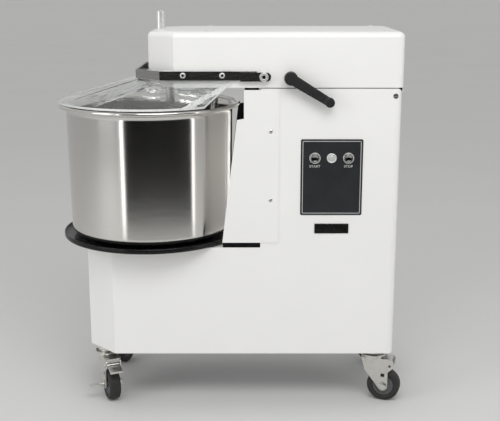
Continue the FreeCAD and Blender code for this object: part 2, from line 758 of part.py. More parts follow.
def breaker_bar():
    tip = BREAKER_BOTTOM + BREAKER_R
    shaft = rod_z(BREAKER_X, 0, tip, BEAM_FLOOR, BREAKER_R)
    collar = rod_z(BREAKER_X, 0, BASE_PLATE_BOTTOM - 7, BASE_PLATE_BOTTOM, 17.5)
    return joined([shaft, collar, Part.makeSphere(BREAKER_R, Vec(BREAKER_X, 0, tip))])


def lifting_post():
    dome = Part.makeSphere(16, Vec(POST_X, 0, POST_TOP - 16))
    shaft = rod_z(POST_X, 0, BEAM_FLOOR, POST_TOP, POST_R).common(
        joined([rod_z(POST_X, 0, 700, POST_TOP - 12, 12), dome]))
    foot = rod_z(POST_X, 0, BEAM_FLOOR, BEAM_FLOOR + 8, 12)
    hole = rod_x(0, POST_TOP - 11, POST_X - 15, POST_X + 15, 2)
    return joined([shaft, foot]).cut(hole)


def spiral_point(turn, z):
    """Centre of the spiral's rod: it hangs straight, then widens into the coil."""
    spread = min(1.0, turn / 0.6)
    ease = spread * spread * (3 - 2 * spread)
    radius = SPIRAL_TOP_R + (SPIRAL_COIL_R - SPIRAL_TOP_R) * ease
    angle = -2 * math.pi * turn
    return Vec(SPIRAL_X + radius * math.cos(angle), radius * math.sin(angle), z)


def spiral_hook():
    flange_z = BASE_PLATE_BOTTOM - 14
    straight_z = 718.0
    bottom = SPIRAL_BOTTOM + SPIRAL_ROD_R
    turns = 1.5
    count = 36
    points = [spiral_point(0, flange_z), spiral_point(0, (flange_z + straight_z) / 2)]
    for step in range(count + 1):
        share = step / count
        fall = share * (1.18 - 0.18 * share)
        points.append(spiral_point(turns * share * share * (1.6 - 0.6 * share),
                                   straight_z - (straight_z - bottom) * min(1.0, fall)))
    curve = Part.BSplineCurve()
    curve.interpolate(points)
    start = Part.Wire(Part.makeCircle(SPIRAL_ROD_R, points[0], UP))
    coil = Part.Wire(curve.toShape()).makePipeShell([start], True, False)
    tip = Part.makeSphere(SPIRAL_ROD_R, points[-1])
    flange = rod_z(SPIRAL_X, 0, flange_z, flange_z + 8, 37)
    shaft = rod_z(SPIRAL_X, 0, flange_z + 8, BEAM_FLOOR + 60, 13)
    return joined([coil, tip, flange, shaft])


# ---- guard -----------------------------------------------------------------------------
def guard_outline(inset):
    """Half outline round the head, from the rear of the near side to the middle in front."""
    side = GUARD_SIDE - inset
    front = GUARD_FRONT + inset
    ease = inset * math.tan(math.radians(22.5))
    corner = GUARD_CORNER
    return [
        (GUARD_FRONT + corner + ease, -side),
        (front, -GUARD_SIDE + corner + ease),
    ]


def guard_band(inset, thickness, rear, z0, z1):
    def ring(offset):
        near = [(rear, -GUARD_SIDE + offset)] + guard_outline(offset)
        far = [(x, -y) for x, y in near[::-1]]
        return near + far
    outer = ring(inset)
    inner = ring(inset + thickness)
    return plan_prism(outer + inner[::-1], z0, z1)


GUARD_SCREWS = (92.5, 180.5)
GUARD_SCREW_Z = 797.0
GUARD_ARM = 4.0


def guard_frame():
    bars = guard_band(0.0, GUARD_BAR, 258, GUARD_BAR_BOTTOM, GUARD_BAR_TOP)
    arm = joined([
        box(221, GUARD_PIVOT_X + 6, -GUARD_SIDE - GUARD_ARM, -GUARD_SIDE,
            GUARD_PIVOT_Z - 10, GUARD_PIVOT_Z + 10),
        rod_y(GUARD_PIVOT_X + 6, GUARD_PIVOT_Z, -GUARD_SIDE - GUARD_ARM, -GUARD_SIDE, 10),
    ])
    frame = joined([bars] + both_sides(arm))
    reach = GUARD_SIDE + 20
    cuts = [rod_y(GUARD_PIVOT_X, GUARD_PIVOT_Z, -reach, reach, 5 + RUN)]
    for x in GUARD_SCREWS:
        cuts.append(rod_y(x, GUARD_SCREW_Z, -reach, reach, 2.5))
    return without(frame, cuts)


def guard_lid():
    top = [(LID_REAR_TOP, -GUARD_SIDE + GUARD_BAR)] + guard_outline(GUARD_BAR)
    top = [Vec(x, y, LID_TOP_Z) for x, y in top]
    top = top + [Vec(p.x, -p.y, p.z) for p in top[::-1]]
    rear_angle = math.degrees(math.acos(LID_REAR_EDGE / LID_EDGE_R))
    angles = [-rear_angle, -122.0, -152.0]
    angles = angles + [-360 - a for a in angles[::-1]]

    def edge_point(angle):
        turn = math.radians(angle)
        return Vec(LID_EDGE_R * math.cos(turn), LID_EDGE_R * math.sin(turn), LID_EDGE_Z)

    drop = Vec(0, 0, -LID_DROP)
    pieces = []
    for index in range(5):
        first, last = angles[index], angles[index + 1]
        arc = Part.Arc(edge_point(first), edge_point((first + last) / 2), edge_point(last))
        brow = Part.makeLine(top[index], top[index + 1])
        pieces.append(Part.makeRuledSurface(brow, arc.toShape()).extrude(drop))
    flange = guard_band(GUARD_BAR, 2.0, LID_REAR_TOP, LID_TOP_Z - LID_DROP, GUARD_BAR_TOP + 2)
    lid = flange.multiFuse(pieces)
    holes = [rod_y(x, GUARD_SCREW_Z, -GUARD_SIDE - 9, GUARD_SIDE + 9, 2.5)
             for x in GUARD_SCREWS]
    return without(lid, holes)


def guard_screws():
    screw = pan_screw(6.5, 3.2, 2.4, 6.4)
    screws = []
    for x in GUARD_SCREWS:
        for side in (-1, 1):
            seat = Vec(x, side * GUARD_SIDE, GUARD_SCREW_Z)
            screws.append(aimed(screw, Vec(0, side, 0), seat))
    return Part.makeCompound(screws)


def guard_pivot_bolts():
    out = GUARD_SIDE + GUARD_ARM
    head = rod_y(GUARD_PIVOT_X, GUARD_PIVOT_Z, -out - 6, -out - 0.3, 10)
    hex_hole = rod_y(GUARD_PIVOT_X, GUARD_PIVOT_Z, -out - 7, -out - 3, 4)
    shank = rod_y(GUARD_PIVOT_X, GUARD_PIVOT_Z, -out - 0.3, -BODY_HALF + 12, 5)
    spacer = rod_y(GUARD_PIVOT_X, GUARD_PIVOT_Z, -GUARD_SIDE + 0.3, -BODY_HALF, 9)
    nut = rod_y(GUARD_PIVOT_X, GUARD_PIVOT_Z, -BODY_HALF + SHEET, -BODY_HALF + 8, 9)
    bolt = joined([head, shank, spacer, nut]).cut(hex_hole)
    return Part.makeCompound(both_sides(bolt))


# ---- head lock and lift ----------------------------------------------------------------
def clamp_lever():
    face = -BODY_HALF
    hub = rod_y(LEVER_X, LEVER_Z, face - 26, face - 0.5, 15)
    angle = math.radians(LEVER_ANGLE)
    along = (math.cos(angle), math.sin(angle))
    across = (-along[1], along[0])

    def spot(distance, offset):
        return (LEVER_X + distance * along[0] + offset * across[0],
                LEVER_Z + distance * along[1] + offset * across[1])

    arm = side_prism([spot(0, -12), spot(LEVER_LENGTH - 11, -9.5), spot(LEVER_LENGTH - 11, 9.5),
                      spot(0, 12)], face - 26, face - 14)
    end = spot(LEVER_LENGTH - 11, 0)
    grip = rod_y(end[0], end[1], face - 28, face - 12, 11)
    lever = joined([hub, arm, grip])
    return lever.cut(rod_y(LEVER_X, LEVER_Z, face - 20, face + 1, 8))


def clamp_shaft():
    face = -BODY_HALF
    shaft = rod_y(LEVER_X, LEVER_Z, face - 20, face + 42, 8)
    cam = rod_y(LEVER_X + 4, LEVER_Z + 3, face + 28, face + 42, 15)
    collar = rod_y(LEVER_X, LEVER_Z, face + SHEET + 0.3, face + 8, 13)
    return joined([shaft, cam, collar])


def spring_direction():
    foot_x, foot_z = SPRING_FOOT
    head_x, head_z = SPRING_HEAD
    return Vec(head_x - foot_x, 0, head_z - foot_z)


SPRING_EYE_R = 9.0
OPEN_EYE_GAP = 4.3


def gas_spring_cylinder():
    way = spring_direction()
    foot = Vec(SPRING_FOOT[0], SPRING_Y, SPRING_FOOT[1])
    body = aimed(rod_z(0, 0, 14, 158, 11), way, foot)
    neck = aimed(rod_z(0, 0, 4, 14, 4), way, foot)
    eye = rod_y(SPRING_FOOT[0], SPRING_FOOT[1], SPRING_Y - 5, SPRING_Y + 5, SPRING_EYE_R)
    cylinder = joined([body, neck, eye])
    pin_hole = rod_y(SPRING_FOOT[0], SPRING_FOOT[1], SPRING_Y - 6, SPRING_Y + 6, 5 + RUN)
    bore = aimed(rod_z(0, 0, 18, 159, 4 + RUN), way, foot)
    return without(cylinder, [pin_hole, bore])


def gas_spring_rod():
    way = spring_direction()
    length = way.Length
    foot = Vec(SPRING_FOOT[0], SPRING_Y, SPRING_FOOT[1])
    reach = 5 + OPEN_EYE_GAP
    rod = aimed(rod_z(0, 0, 22, length - reach - 1, 4), way, foot)
    eye = rod_y(SPRING_HEAD[0], SPRING_HEAD[1], SPRING_Y - 5, SPRING_Y + 5, reach + 4)
    hole = rod_y(SPRING_HEAD[0], SPRING_HEAD[1], SPRING_Y - 6, SPRING_Y + 6, reach)
    return joined([rod, eye]).cut(hole)


# ---- casters ---------------------------------------------------------------------------
def caster_centres():
    return [(FRONT_CASTER[0], -FRONT_CASTER[1]), (FRONT_CASTER[0], FRONT_CASTER[1]),
            (REAR_CASTER[0], -REAR_CASTER[1]), (REAR_CASTER[0], REAR_CASTER[1])]


def at_caster(shape, index):
    """A part drawn with its swivel on the Z axis and its wheel trailing towards +X."""
    yaw = (FRONT_YAW, -FRONT_YAW, REAR_YAW, -REAR_YAW)[index]
    x, y = caster_centres()[index]
    placed = shape.copy()
    placed.rotate(Vec(0, 0, 0), UP, yaw)
    placed.translate(Vec(x, y, 0))
    return placed


PEDAL_X = 44.0
PEDAL_Z = 93.0
SWIVEL_TOP = BASE_BOTTOM - 11.3
CROWN_BOTTOM = BASE_BOTTOM - 21.0


def foot_tab(index, outer):
    """The small step on the outer end of a front axle."""
    if index > 1:
        return []
    side = (-1, 1)[index]
    near, far = sorted((side * outer, side * (outer + 17)))
    stud = rod_y(TRAIL, WHEEL_R, near, far, 5)
    near, far = sorted((side * (outer + 14), side * (outer + 36)))
    step = box(TRAIL - 7, TRAIL + 7, near, far, WHEEL_R - 1, WHEEL_R + 3)
    return [stud, step]


def caster_fork(index):
    inner = WHEEL_WIDTH / 2 + 1.5
    outer = inner + FORK_PLATE
    leg = side_prism([(-26, CROWN_BOTTOM), (49, CROWN_BOTTOM), (53, 104), (52, 88), (TRAIL + 12, 76),
                      (TRAIL + 12, WHEEL_R), (TRAIL - 10.4, WHEEL_R - 6), (-17, 77)], -outer, -inner)
    foot = rod_y(TRAIL, WHEEL_R, -outer, -inner, 12)
    legs = both_sides(joined([leg, foot]))
    crown = joined([
        rod_z(0, 0, CROWN_BOTTOM, SWIVEL_TOP, 29),
        box(-26, 49, -outer, outer, CROWN_BOTTOM - 2.7, CROWN_BOTTOM + 1),
    ])
    crown = crown.cut(rod_z(0, 0, CROWN_BOTTOM - 4, SWIVEL_TOP + 1, 6 + RUN))
    axle = rod_y(TRAIL, WHEEL_R, -outer - 2.5, outer + 2.5, 5)
    nuts = both_sides(rod_y(TRAIL, WHEEL_R, -outer - 5.5, -outer, 8))
    fork = joined(legs + [crown, axle] + nuts + foot_tab(index, outer))
    window = box(TRAIL - 5, TRAIL + 4, -outer - 1, outer + 1, 63, 72)
    pin_hole = rod_y(PEDAL_X, PEDAL_Z, -outer - 1, outer + 1, 3 + RUN)
    return at_caster(without(fork, [window, pin_hole]), index)


def caster_wheel(index):
    half = WHEEL_WIDTH / 2
    tyre = rod_y(TRAIL, WHEEL_R, -half, half, WHEEL_R)
    tyre = tyre.makeFillet(5, [e for e in tyre.Edges if e.BoundBox.ZLength > 2 * WHEEL_R - 1
                               and e.BoundBox.YLength < 0.01])
    dishes = both_sides(rod_y(TRAIL, WHEEL_R, -half - 1, -half + 3, 24))
    hub = rod_y(TRAIL, WHEEL_R, -half - 1, half + 1, 9)
    wheel = joined([without(tyre, dishes), hub])
    return at_caster(wheel.cut(rod_y(TRAIL, WHEEL_R, -half - 2, half + 2, 5 + RUN)), index)


def brake_pedal(index):
    half = WHEEL_WIDTH / 2 + 1.2
    pin = rod_y(PEDAL_X, PEDAL_Z, -half - 6, half + 6, 3)
    barrel = rod_y(PEDAL_X, PEDAL_Z, -half, half, 5)
    tread = side_prism([(PEDAL_X, PEDAL_Z + 1), (PEDAL_X + 14, PEDAL_Z + 3),
                        (PEDAL_X + 36, PEDAL_Z - 5), (PEDAL_X + 36, PEDAL_Z - 9),
                        (PEDAL_X + 14, PEDAL_Z - 2), (PEDAL_X, PEDAL_Z - 3)], -half, half)
    return at_caster(joined([pin, barrel, tread]), index)


CASTER_NAMES = ("front_near", "front_far", "rear_near", "rear_far")

SUBPARTS = [
    base_casing, column_casing, chassis_plate, rear_cover, cover_screws, column_frame,
    hinge_pin, gap_panel_near, gap_panel_far, caster_plates, control_panel, name_plate,
    button_bezels, start_button, stop_button, signal_lamp, control_box, cable_gland, motor,
    gearbox, drive_shaft, drive_sprocket, bowl_chain, spindle_bridge, bowl_bearings,
    bowl_spindle, bowl_sprocket, turntable_disc, bowl_wall, bowl_bottom, head_cover,
    head_base_plate, head_frame, head_chain, head_shaft, head_sprocket, spiral_sprocket,
    spiral_bearing_housing, spiral_bearings, spiral_hook, breaker_bar, lifting_post,
    guard_frame, guard_lid, guard_screws, guard_pivot_bolts, clamp_lever, clamp_shaft,
    gas_spring_cylinder, gas_spring_rod,
]


def write(name, shape):
    placed = shape.copy()
    placed.translate(Vec(-MIDDLE_X, 0, 0))
    placed.exportStep("parts/" + name + ".step")
    print(name, "solids", len(placed.Solids), "volume", round(placed.Volume))


os.makedirs("parts", exist_ok=True)
for make in SUBPARTS:
    write(make.__name__, make())
for number, place in enumerate(CASTER_NAMES):
    write("caster_fork_" + place, caster_fork(number))
    write("caster_wheel_" + place, caster_wheel(number))
    if number < 2:
        write("brake_pedal_" + place, brake_pedal(number))
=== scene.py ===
# %% [markdown]
# # A spiral dough mixer
# A bakery machine with a turning steel bowl, a spiral hook and a head that tips back. The
# engineering model comes in first, as a fixed frame: every part of it already sits in its place,
# in metres, and moves with its own body. This lesson gives that frame its visible surfaces.
# Pieces whose CAD shape is plain get a rounded or turned piece in their place, and the rest keep
# their shape and only get a finish.

# %% Load the frame
import json
import math
import bmesh
import bpy
from mathutils import Matrix, Vector


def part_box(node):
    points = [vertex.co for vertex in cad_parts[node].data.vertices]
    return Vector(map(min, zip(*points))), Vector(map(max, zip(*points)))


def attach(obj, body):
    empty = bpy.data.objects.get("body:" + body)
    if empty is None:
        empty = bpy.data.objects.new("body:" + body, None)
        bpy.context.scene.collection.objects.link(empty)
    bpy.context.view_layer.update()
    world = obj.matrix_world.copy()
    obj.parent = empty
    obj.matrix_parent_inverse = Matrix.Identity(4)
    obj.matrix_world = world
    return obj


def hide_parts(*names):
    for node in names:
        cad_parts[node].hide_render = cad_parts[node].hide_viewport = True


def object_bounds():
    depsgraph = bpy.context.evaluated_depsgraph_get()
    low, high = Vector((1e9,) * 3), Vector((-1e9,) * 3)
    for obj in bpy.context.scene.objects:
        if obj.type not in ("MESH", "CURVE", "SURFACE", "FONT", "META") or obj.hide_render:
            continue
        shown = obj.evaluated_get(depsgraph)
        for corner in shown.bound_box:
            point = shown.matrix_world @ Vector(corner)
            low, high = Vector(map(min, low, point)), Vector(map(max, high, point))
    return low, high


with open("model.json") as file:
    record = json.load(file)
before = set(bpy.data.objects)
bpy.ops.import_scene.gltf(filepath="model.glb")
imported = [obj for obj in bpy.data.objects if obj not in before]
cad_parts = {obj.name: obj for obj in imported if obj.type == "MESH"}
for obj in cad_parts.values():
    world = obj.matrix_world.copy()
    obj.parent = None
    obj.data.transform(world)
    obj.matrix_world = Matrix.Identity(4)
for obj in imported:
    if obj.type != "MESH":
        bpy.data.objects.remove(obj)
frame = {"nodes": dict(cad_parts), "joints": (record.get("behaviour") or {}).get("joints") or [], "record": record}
cad_box = [list(corner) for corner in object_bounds()]
scene = bpy.context.scene
MM = 0.001

# %% [markdown]
# ## Where things are
# Every place in this lesson is read from the frame, so that a piece can't drift away from the
# part it stands for. Two small readers are enough: the middle of a node and its half sizes.

# %% Readers for places in the frame
def middle(node):
    low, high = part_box(node)
    return (low + high) / 2


def half(node):
    low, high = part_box(node)
    return (high - low) / 2


BOWL_AXIS = middle("bowl_wall")
RIM_RADIUS = half("bowl_wall").x
RIM_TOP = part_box("bowl_wall")[1].z
BOWL_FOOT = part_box("bowl_bottom")[0].z
PANEL_LOW, PANEL_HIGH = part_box("control_panel")
SIDE_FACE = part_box("column_casing")[0].y
print("bowl axis at", round(BOWL_AXIS.x, 4), "rim radius", round(RIM_RADIUS, 4))

# %% [markdown]
# ## How a finish is made
# All finishes are worked out from a point's place on the object, so they stay put when a part
# moves and need no pictures. Each one starts with a plain shader. Then a noise gives it small
# changes of colour, of gloss and of height, because no real surface is the same all over.
# The noise can be drawn out along an axis, which turns specks into brush lines.

# %% A plain shader and its nodes
def new_finish(name, colour, roughness, metallic=0.0, **settings):
    finish = bpy.data.materials.new(name)
    finish.use_nodes = True
    shader = finish.node_tree.nodes["Principled BSDF"]
    shader.inputs["Base Color"].default_value = (*colour, 1.0)
    shader.inputs["Roughness"].default_value = roughness
    shader.inputs["Metallic"].default_value = metallic
    for socket, value in settings.items():
        shader.inputs[socket.replace("_", " ")].default_value = value
    return finish


def add_node(finish, kind, **values):
    node = finish.node_tree.nodes.new(kind)
    for socket, value in values.items():
        node.inputs[socket.replace("_", " ")].default_value = value
    return node


def shader_of(finish):
    return finish.node_tree.nodes["Principled BSDF"]


print("plain shaders ready")

# %% [markdown]
# A pattern is only a number between nought and one at every point. It becomes a finish when it
# drives something: tint turns it into colour, gloss into roughness, and relief into tiny bumps.
# The noise is densest between 0.3 and 0.7, so the first two stretch that middle part.

# %% Patterns and what they drive
def grain(finish, size, stretch=(1.0, 1.0, 1.0), detail=3.0):
    """A noise with specks of this size in metres, drawn out along an axis by its stretch."""
    links = finish.node_tree.links
    place = add_node(finish, "ShaderNodeTexCoord")
    scale = add_node(finish, "ShaderNodeMapping", Scale=[1 / s for s in stretch])
    noise = add_node(finish, "ShaderNodeTexNoise", Scale=1 / size, Detail=detail)
    links.new(place.outputs["Object"], scale.inputs["Vector"])
    links.new(scale.outputs["Vector"], noise.inputs["Vector"])
    return noise.outputs["Fac"]


NOISE_LOW = 0.3
NOISE_HIGH = 0.7


def tint(finish, pattern, dark, light):
    ramp = add_node(finish, "ShaderNodeValToRGB")
    ends = zip(ramp.color_ramp.elements, (NOISE_LOW, NOISE_HIGH), (dark, light))
    for element, position, colour in ends:
        element.position = position
        element.color = (*colour, 1.0)
    finish.node_tree.links.new(pattern, ramp.inputs["Fac"])
    finish.node_tree.links.new(ramp.outputs["Color"], shader_of(finish).inputs["Base Color"])


def gloss(finish, pattern, low, high):
    spread = add_node(finish, "ShaderNodeMapRange", From_Min=NOISE_LOW, From_Max=NOISE_HIGH,
                      To_Min=low, To_Max=high)
    finish.node_tree.links.new(pattern, spread.inputs["Value"])
    finish.node_tree.links.new(spread.outputs["Result"], shader_of(finish).inputs["Roughness"])


def relief(finish, pattern, height):
    bump = add_node(finish, "ShaderNodeBump", Strength=1.0, Distance=height)
    finish.node_tree.links.new(pattern, bump.inputs["Height"])
    finish.node_tree.links.new(bump.outputs["Normal"], shader_of(finish).inputs["Normal"])


print("patterns ready")

# %% [markdown]
# ## Painted steel
# The casing is folded sheet with a white powder coat. Powder melts into a skin that is smooth but
# never quite flat: under a lamp it shows a faint orange peel a few millimetres across. Two noises
# do that, a wide one for the colour and the gloss and a fine one for the skin. The turntable disc
# has a harder, glossier black coat, and the hidden frame a dull primer.

# %% Paints
white_enamel = new_finish("white_powder_coat", (0.88, 0.875, 0.86), 0.34, Coat_Weight=0.15,
                          Coat_Roughness=0.12)
wide = grain(white_enamel, 0.16, detail=2.0)
tint(white_enamel, wide, (0.872, 0.867, 0.852), (0.888, 0.883, 0.868))
gloss(white_enamel, wide, 0.30, 0.38)
relief(white_enamel, grain(white_enamel, 0.0035, detail=1.0), 0.00002)

black_coat = new_finish("gloss_black_coat", (0.007, 0.007, 0.008), 0.25, Specular_IOR_Level=0.2,
                        Coat_Weight=0.08, Coat_Roughness=0.08)
tint(black_coat, grain(black_coat, 0.05), (0.006, 0.006, 0.007), (0.011, 0.011, 0.012))
gloss(black_coat, grain(black_coat, 0.012, detail=5.0), 0.2, 0.3)
relief(black_coat, grain(black_coat, 0.003, detail=1.0), 0.000015)

primer = new_finish("grey_primer", (0.20, 0.21, 0.22), 0.6)
tint(primer, grain(primer, 0.03, detail=5.0), (0.17, 0.18, 0.19), (0.23, 0.24, 0.25))
gloss(primer, grain(primer, 0.008), 0.5, 0.7)
relief(primer, grain(primer, 0.0012), 0.00003)

casting = new_finish("painted_casting", (0.24, 0.25, 0.27), 0.55)
tint(casting, grain(casting, 0.02, detail=6.0), (0.20, 0.21, 0.23), (0.28, 0.29, 0.31))
relief(casting, grain(casting, 0.0022, detail=4.0), 0.00012)

motor_enamel = new_finish("blue_grey_enamel", (0.10, 0.16, 0.24), 0.4)
tint(motor_enamel, grain(motor_enamel, 0.04), (0.09, 0.14, 0.215), (0.115, 0.18, 0.265))
gloss(motor_enamel, grain(motor_enamel, 0.01), 0.33, 0.48)
print("paints ready")

# %% [markdown]
# ## Bare metal
# The bowl is brushed while it turns, so its scratches run round it. Such scratches spread a
# reflection across themselves, which is up and down here: this is why a brushed bowl shows tall,
# narrow streaks. The shader does that with its anisotropic setting and a tangent that runs round
# the vertical axis. The scratches themselves come from a noise read in
# cylindrical coordinates: a long stretch of angle against a short stretch of height.

# %% Bowl steel, brushed round its axis
def round_grain(finish, centre, size, stretch):
    """Brush lines round an upright axis: noise over angle and height instead of X and Y."""
    links = finish.node_tree.links
    place = add_node(finish, "ShaderNodeTexCoord")
    centred = add_node(finish, "ShaderNodeMapping", Location=(-centre.x, -centre.y, 0))
    parts = add_node(finish, "ShaderNodeSeparateXYZ")
    angle = add_node(finish, "ShaderNodeMath")
    angle.operation = "ARCTAN2"
    along = add_node(finish, "ShaderNodeMath")
    along.operation = "MULTIPLY"
    along.inputs[1].default_value = 0.2 / stretch
    rolled = add_node(finish, "ShaderNodeCombineXYZ")
    noise = add_node(finish, "ShaderNodeTexNoise", Scale=1 / size, Detail=4.0)
    links.new(place.outputs["Object"], centred.inputs["Vector"])
    links.new(centred.outputs["Vector"], parts.inputs["Vector"])
    links.new(parts.outputs["X"], angle.inputs[0])
    links.new(parts.outputs["Y"], angle.inputs[1])
    links.new(angle.outputs["Value"], along.inputs[0])
    links.new(along.outputs["Value"], rolled.inputs["X"])
    links.new(parts.outputs["Z"], rolled.inputs["Z"])
    links.new(rolled.outputs["Vector"], noise.inputs["Vector"])
    return noise.outputs["Fac"]


bowl_steel = new_finish("brushed_bowl_steel", (0.70, 0.69, 0.67), 0.15, 1.0, Anisotropic=0.6,
                        Anisotropic_Rotation=0.25)
brush_lines = round_grain(bowl_steel, BOWL_AXIS, 0.0007, 90.0)
tint(bowl_steel, brush_lines, (0.665, 0.65, 0.625), (0.725, 0.71, 0.685))
gloss(bowl_steel, round_grain(bowl_steel, BOWL_AXIS, 0.0015, 60.0), 0.13, 0.17)
relief(bowl_steel, brush_lines, 0.0000006)
round_tangent = add_node(bowl_steel, "ShaderNodeTangent")
round_tangent.direction_type = "RADIAL"
round_tangent.axis = "Z"
bowl_steel.node_tree.links.new(round_tangent.outputs["Tangent"], shader_of(bowl_steel).inputs["Tangent"])
print("bowl steel ready")

# %% [markdown]
# The guard's bars are brushed along their length. The hook and the breaker bar are polished.
# Casters and screws are bright zinc, which clouds into soft patches, and shafts and sprockets are
# plain turned steel. One function makes them all: what differs is the colour, the gloss and the
# direction in which the grain is drawn out. A satin surface scatters part of the light as paint
# does. The post, the screws and the button rings get a metallic value below one for that, which
# keeps such small parts bright even where they mirror something dark.

# %% Other metals
def metal(name, dark, light, low, high, size, stretch, height, metallic=1.0):
    finish = new_finish(name, light, low, metallic)
    pattern = grain(finish, size, stretch, detail=4.0)
    tint(finish, pattern, dark, light)
    gloss(finish, pattern, low, high)
    relief(finish, pattern, height)
    return finish


bar_steel = metal("brushed_bar_steel", (0.36, 0.355, 0.35), (0.44, 0.43, 0.42), 0.22, 0.28,
                  0.0006, (50.0, 50.0, 1.0), 0.0000012)
polished_steel = metal("polished_steel", (0.74, 0.74, 0.735), (0.82, 0.82, 0.81), 0.16, 0.24,
                       0.006, (1.0, 1.0, 3.0), 0.000003)
hook_steel = metal("hook_steel", (0.50, 0.50, 0.495), (0.58, 0.575, 0.57), 0.16, 0.26,
                   0.004, (1.0, 1.0, 6.0), 0.000008)
zinc_plate = metal("bright_zinc", (0.63, 0.615, 0.585), (0.72, 0.705, 0.675), 0.27, 0.36,
                   0.012, (1.0, 1.0, 1.0), 0.000003)
turned_steel = metal("turned_steel", (0.44, 0.44, 0.45), (0.54, 0.54, 0.55), 0.28, 0.40,
                     0.0016, (20.0, 20.0, 1.0), 0.00001)
button_chrome = metal("button_chrome", (0.86, 0.86, 0.85), (0.93, 0.93, 0.92), 0.26, 0.34,
                      0.006, (1.0, 1.0, 1.0), 0.000002, 0.55)
button_steel = metal("button_face_steel", (0.30, 0.30, 0.295), (0.40, 0.40, 0.39), 0.12, 0.20,
                     0.0014, (8.0, 1.0, 1.0), 0.000002)
screw_zinc = metal("screw_zinc", (0.80, 0.80, 0.79), (0.90, 0.90, 0.89), 0.24, 0.34,
                   0.003, (1.0, 1.0, 1.0), 0.000003, 0.6)
post_steel = metal("satin_post_steel", (0.76, 0.76, 0.75), (0.84, 0.84, 0.83), 0.32, 0.42,
                   0.004, (1.0, 1.0, 8.0), 0.000002, 0.75)
print("metals ready")

# %% [markdown]
# ## Plastic, rubber and film
# The guard is clear polycarbonate, a few millimetres thick: it is glass to the eye, with bright
# edges. Its IOR is set lower than the real 1.58. The sheet's facets then hardly bend what lies
# behind them, as a thin formed sheet would. The lever is a matt moulding with a fine leathery
# grain. The control field is a printed film, nearly flat black, and the tyres are solid rubber.

# %% Plastics
clear_sheet = new_finish("clear_polycarbonate", (0.98, 0.99, 0.985), 0.03,
                         Transmission_Weight=0.95, IOR=1.15)
tint(clear_sheet, grain(clear_sheet, 0.08), (0.965, 0.98, 0.975), (0.99, 0.995, 0.995))
gloss(clear_sheet, grain(clear_sheet, 0.02, detail=5.0), 0.01, 0.035)

# Painted highlight: a pale, mostly opaque finish for the sheet's cut edges, standing in for the light they gather.
cut_edge_highlight = new_finish("cut_edge_painted_highlight", (0.93, 0.94, 0.935), 0.25, Transmission_Weight=0.25, IOR=1.45,
                      Coat_Weight=0.5)
tint(cut_edge_highlight, grain(cut_edge_highlight, 0.01), (0.90, 0.915, 0.91), (0.95, 0.96, 0.955))
gloss(cut_edge_highlight, grain(cut_edge_highlight, 0.003), 0.2, 0.32)

black_grip = new_finish("matt_black_moulding", (0.014, 0.014, 0.015), 0.52, Specular_IOR_Level=0.4)
tint(black_grip, grain(black_grip, 0.01), (0.012, 0.012, 0.013), (0.019, 0.019, 0.020))
gloss(black_grip, grain(black_grip, 0.002), 0.44, 0.60)
relief(black_grip, grain(black_grip, 0.0007, detail=2.0), 0.00003)

film = new_finish("printed_film", (0.017, 0.018, 0.020), 0.42)
tint(film, grain(film, 0.05), (0.015, 0.016, 0.018), (0.021, 0.022, 0.024))
gloss(film, grain(film, 0.0009, detail=1.0), 0.36, 0.48)
relief(film, grain(film, 0.0009, detail=1.0), 0.000006)

print_grey = new_finish("grey_print", (0.50, 0.51, 0.51), 0.5)
tint(print_grey, grain(print_grey, 0.004), (0.46, 0.47, 0.47), (0.55, 0.56, 0.56))

plate_black = new_finish("black_plate", (0.006, 0.006, 0.006), 0.14)
tint(plate_black, grain(plate_black, 0.02), (0.005, 0.005, 0.005), (0.009, 0.009, 0.009))
gloss(plate_black, grain(plate_black, 0.008), 0.10, 0.2)

milky_lens = new_finish("milky_lens", (0.52, 0.52, 0.50), 0.2, Subsurface_Weight=0.15, Coat_Weight=0.5)
tint(milky_lens, grain(milky_lens, 0.004), (0.46, 0.46, 0.445), (0.58, 0.58, 0.56))

rubber = new_finish("solid_rubber", (0.018, 0.018, 0.018), 0.62)
tint(rubber, grain(rubber, 0.02, detail=6.0), (0.014, 0.014, 0.014), (0.028, 0.027, 0.026))
gloss(rubber, grain(rubber, 0.006), 0.5, 0.75)
relief(rubber, grain(rubber, 0.0016, detail=3.0), 0.00004)

hub_plastic = new_finish("hub_plastic", (0.10, 0.10, 0.105), 0.45)
tint(hub_plastic, grain(hub_plastic, 0.006), (0.085, 0.085, 0.09), (0.125, 0.125, 0.13))
relief(hub_plastic, grain(hub_plastic, 0.0012), 0.00002)

# A near-black finish used as painted shade, in gaps that are only in shadow.
painted_shade_black = new_finish("black_painted_shade_sheet", (0.006, 0.006, 0.006), 0.9, Specular_IOR_Level=0.1)
tint(painted_shade_black, grain(painted_shade_black, 0.01), (0.004, 0.004, 0.004), (0.009, 0.009, 0.009))
print(len(bpy.data.materials), "finishes in all")

# %% [markdown]
# ## A finish for every part of the frame
# The record names a finish slot for every node. This table gives each slot its finish here. A
# node that gets a finer piece later on is hidden then, and the others are seen as they are, some
# of them only when the head is tipped back.

# %% Give the CAD nodes their finishes
FINISHES = {
    "white_paint": white_enamel, "black_coat": black_coat, "bowl_steel": bowl_steel,
    "polished_steel": polished_steel, "brushed_bar": bar_steel, "zinc": zinc_plate,
    "tread": rubber, "clear_plastic": clear_sheet, "black_plastic": black_grip,
    "panel_film": film, "button_steel": button_chrome, "lamp_plastic": milky_lens,
    "cast": casting, "frame_steel": primer, "machined": turned_steel, "motor_paint": motor_enamel,
}
SLOT_OF = {part["node"]: part["material_slot"] for part in frame["record"]["subparts"]}
for name, node in frame["nodes"].items():
    node.data.materials.clear()
    node.data.materials.append(FINISHES[SLOT_OF[name]])
frame["nodes"]["spiral_hook"].data.materials[0] = hook_steel
frame["nodes"]["breaker_bar"].data.materials[0] = hook_steel
print("finishes given to", len(frame["nodes"]), "nodes")

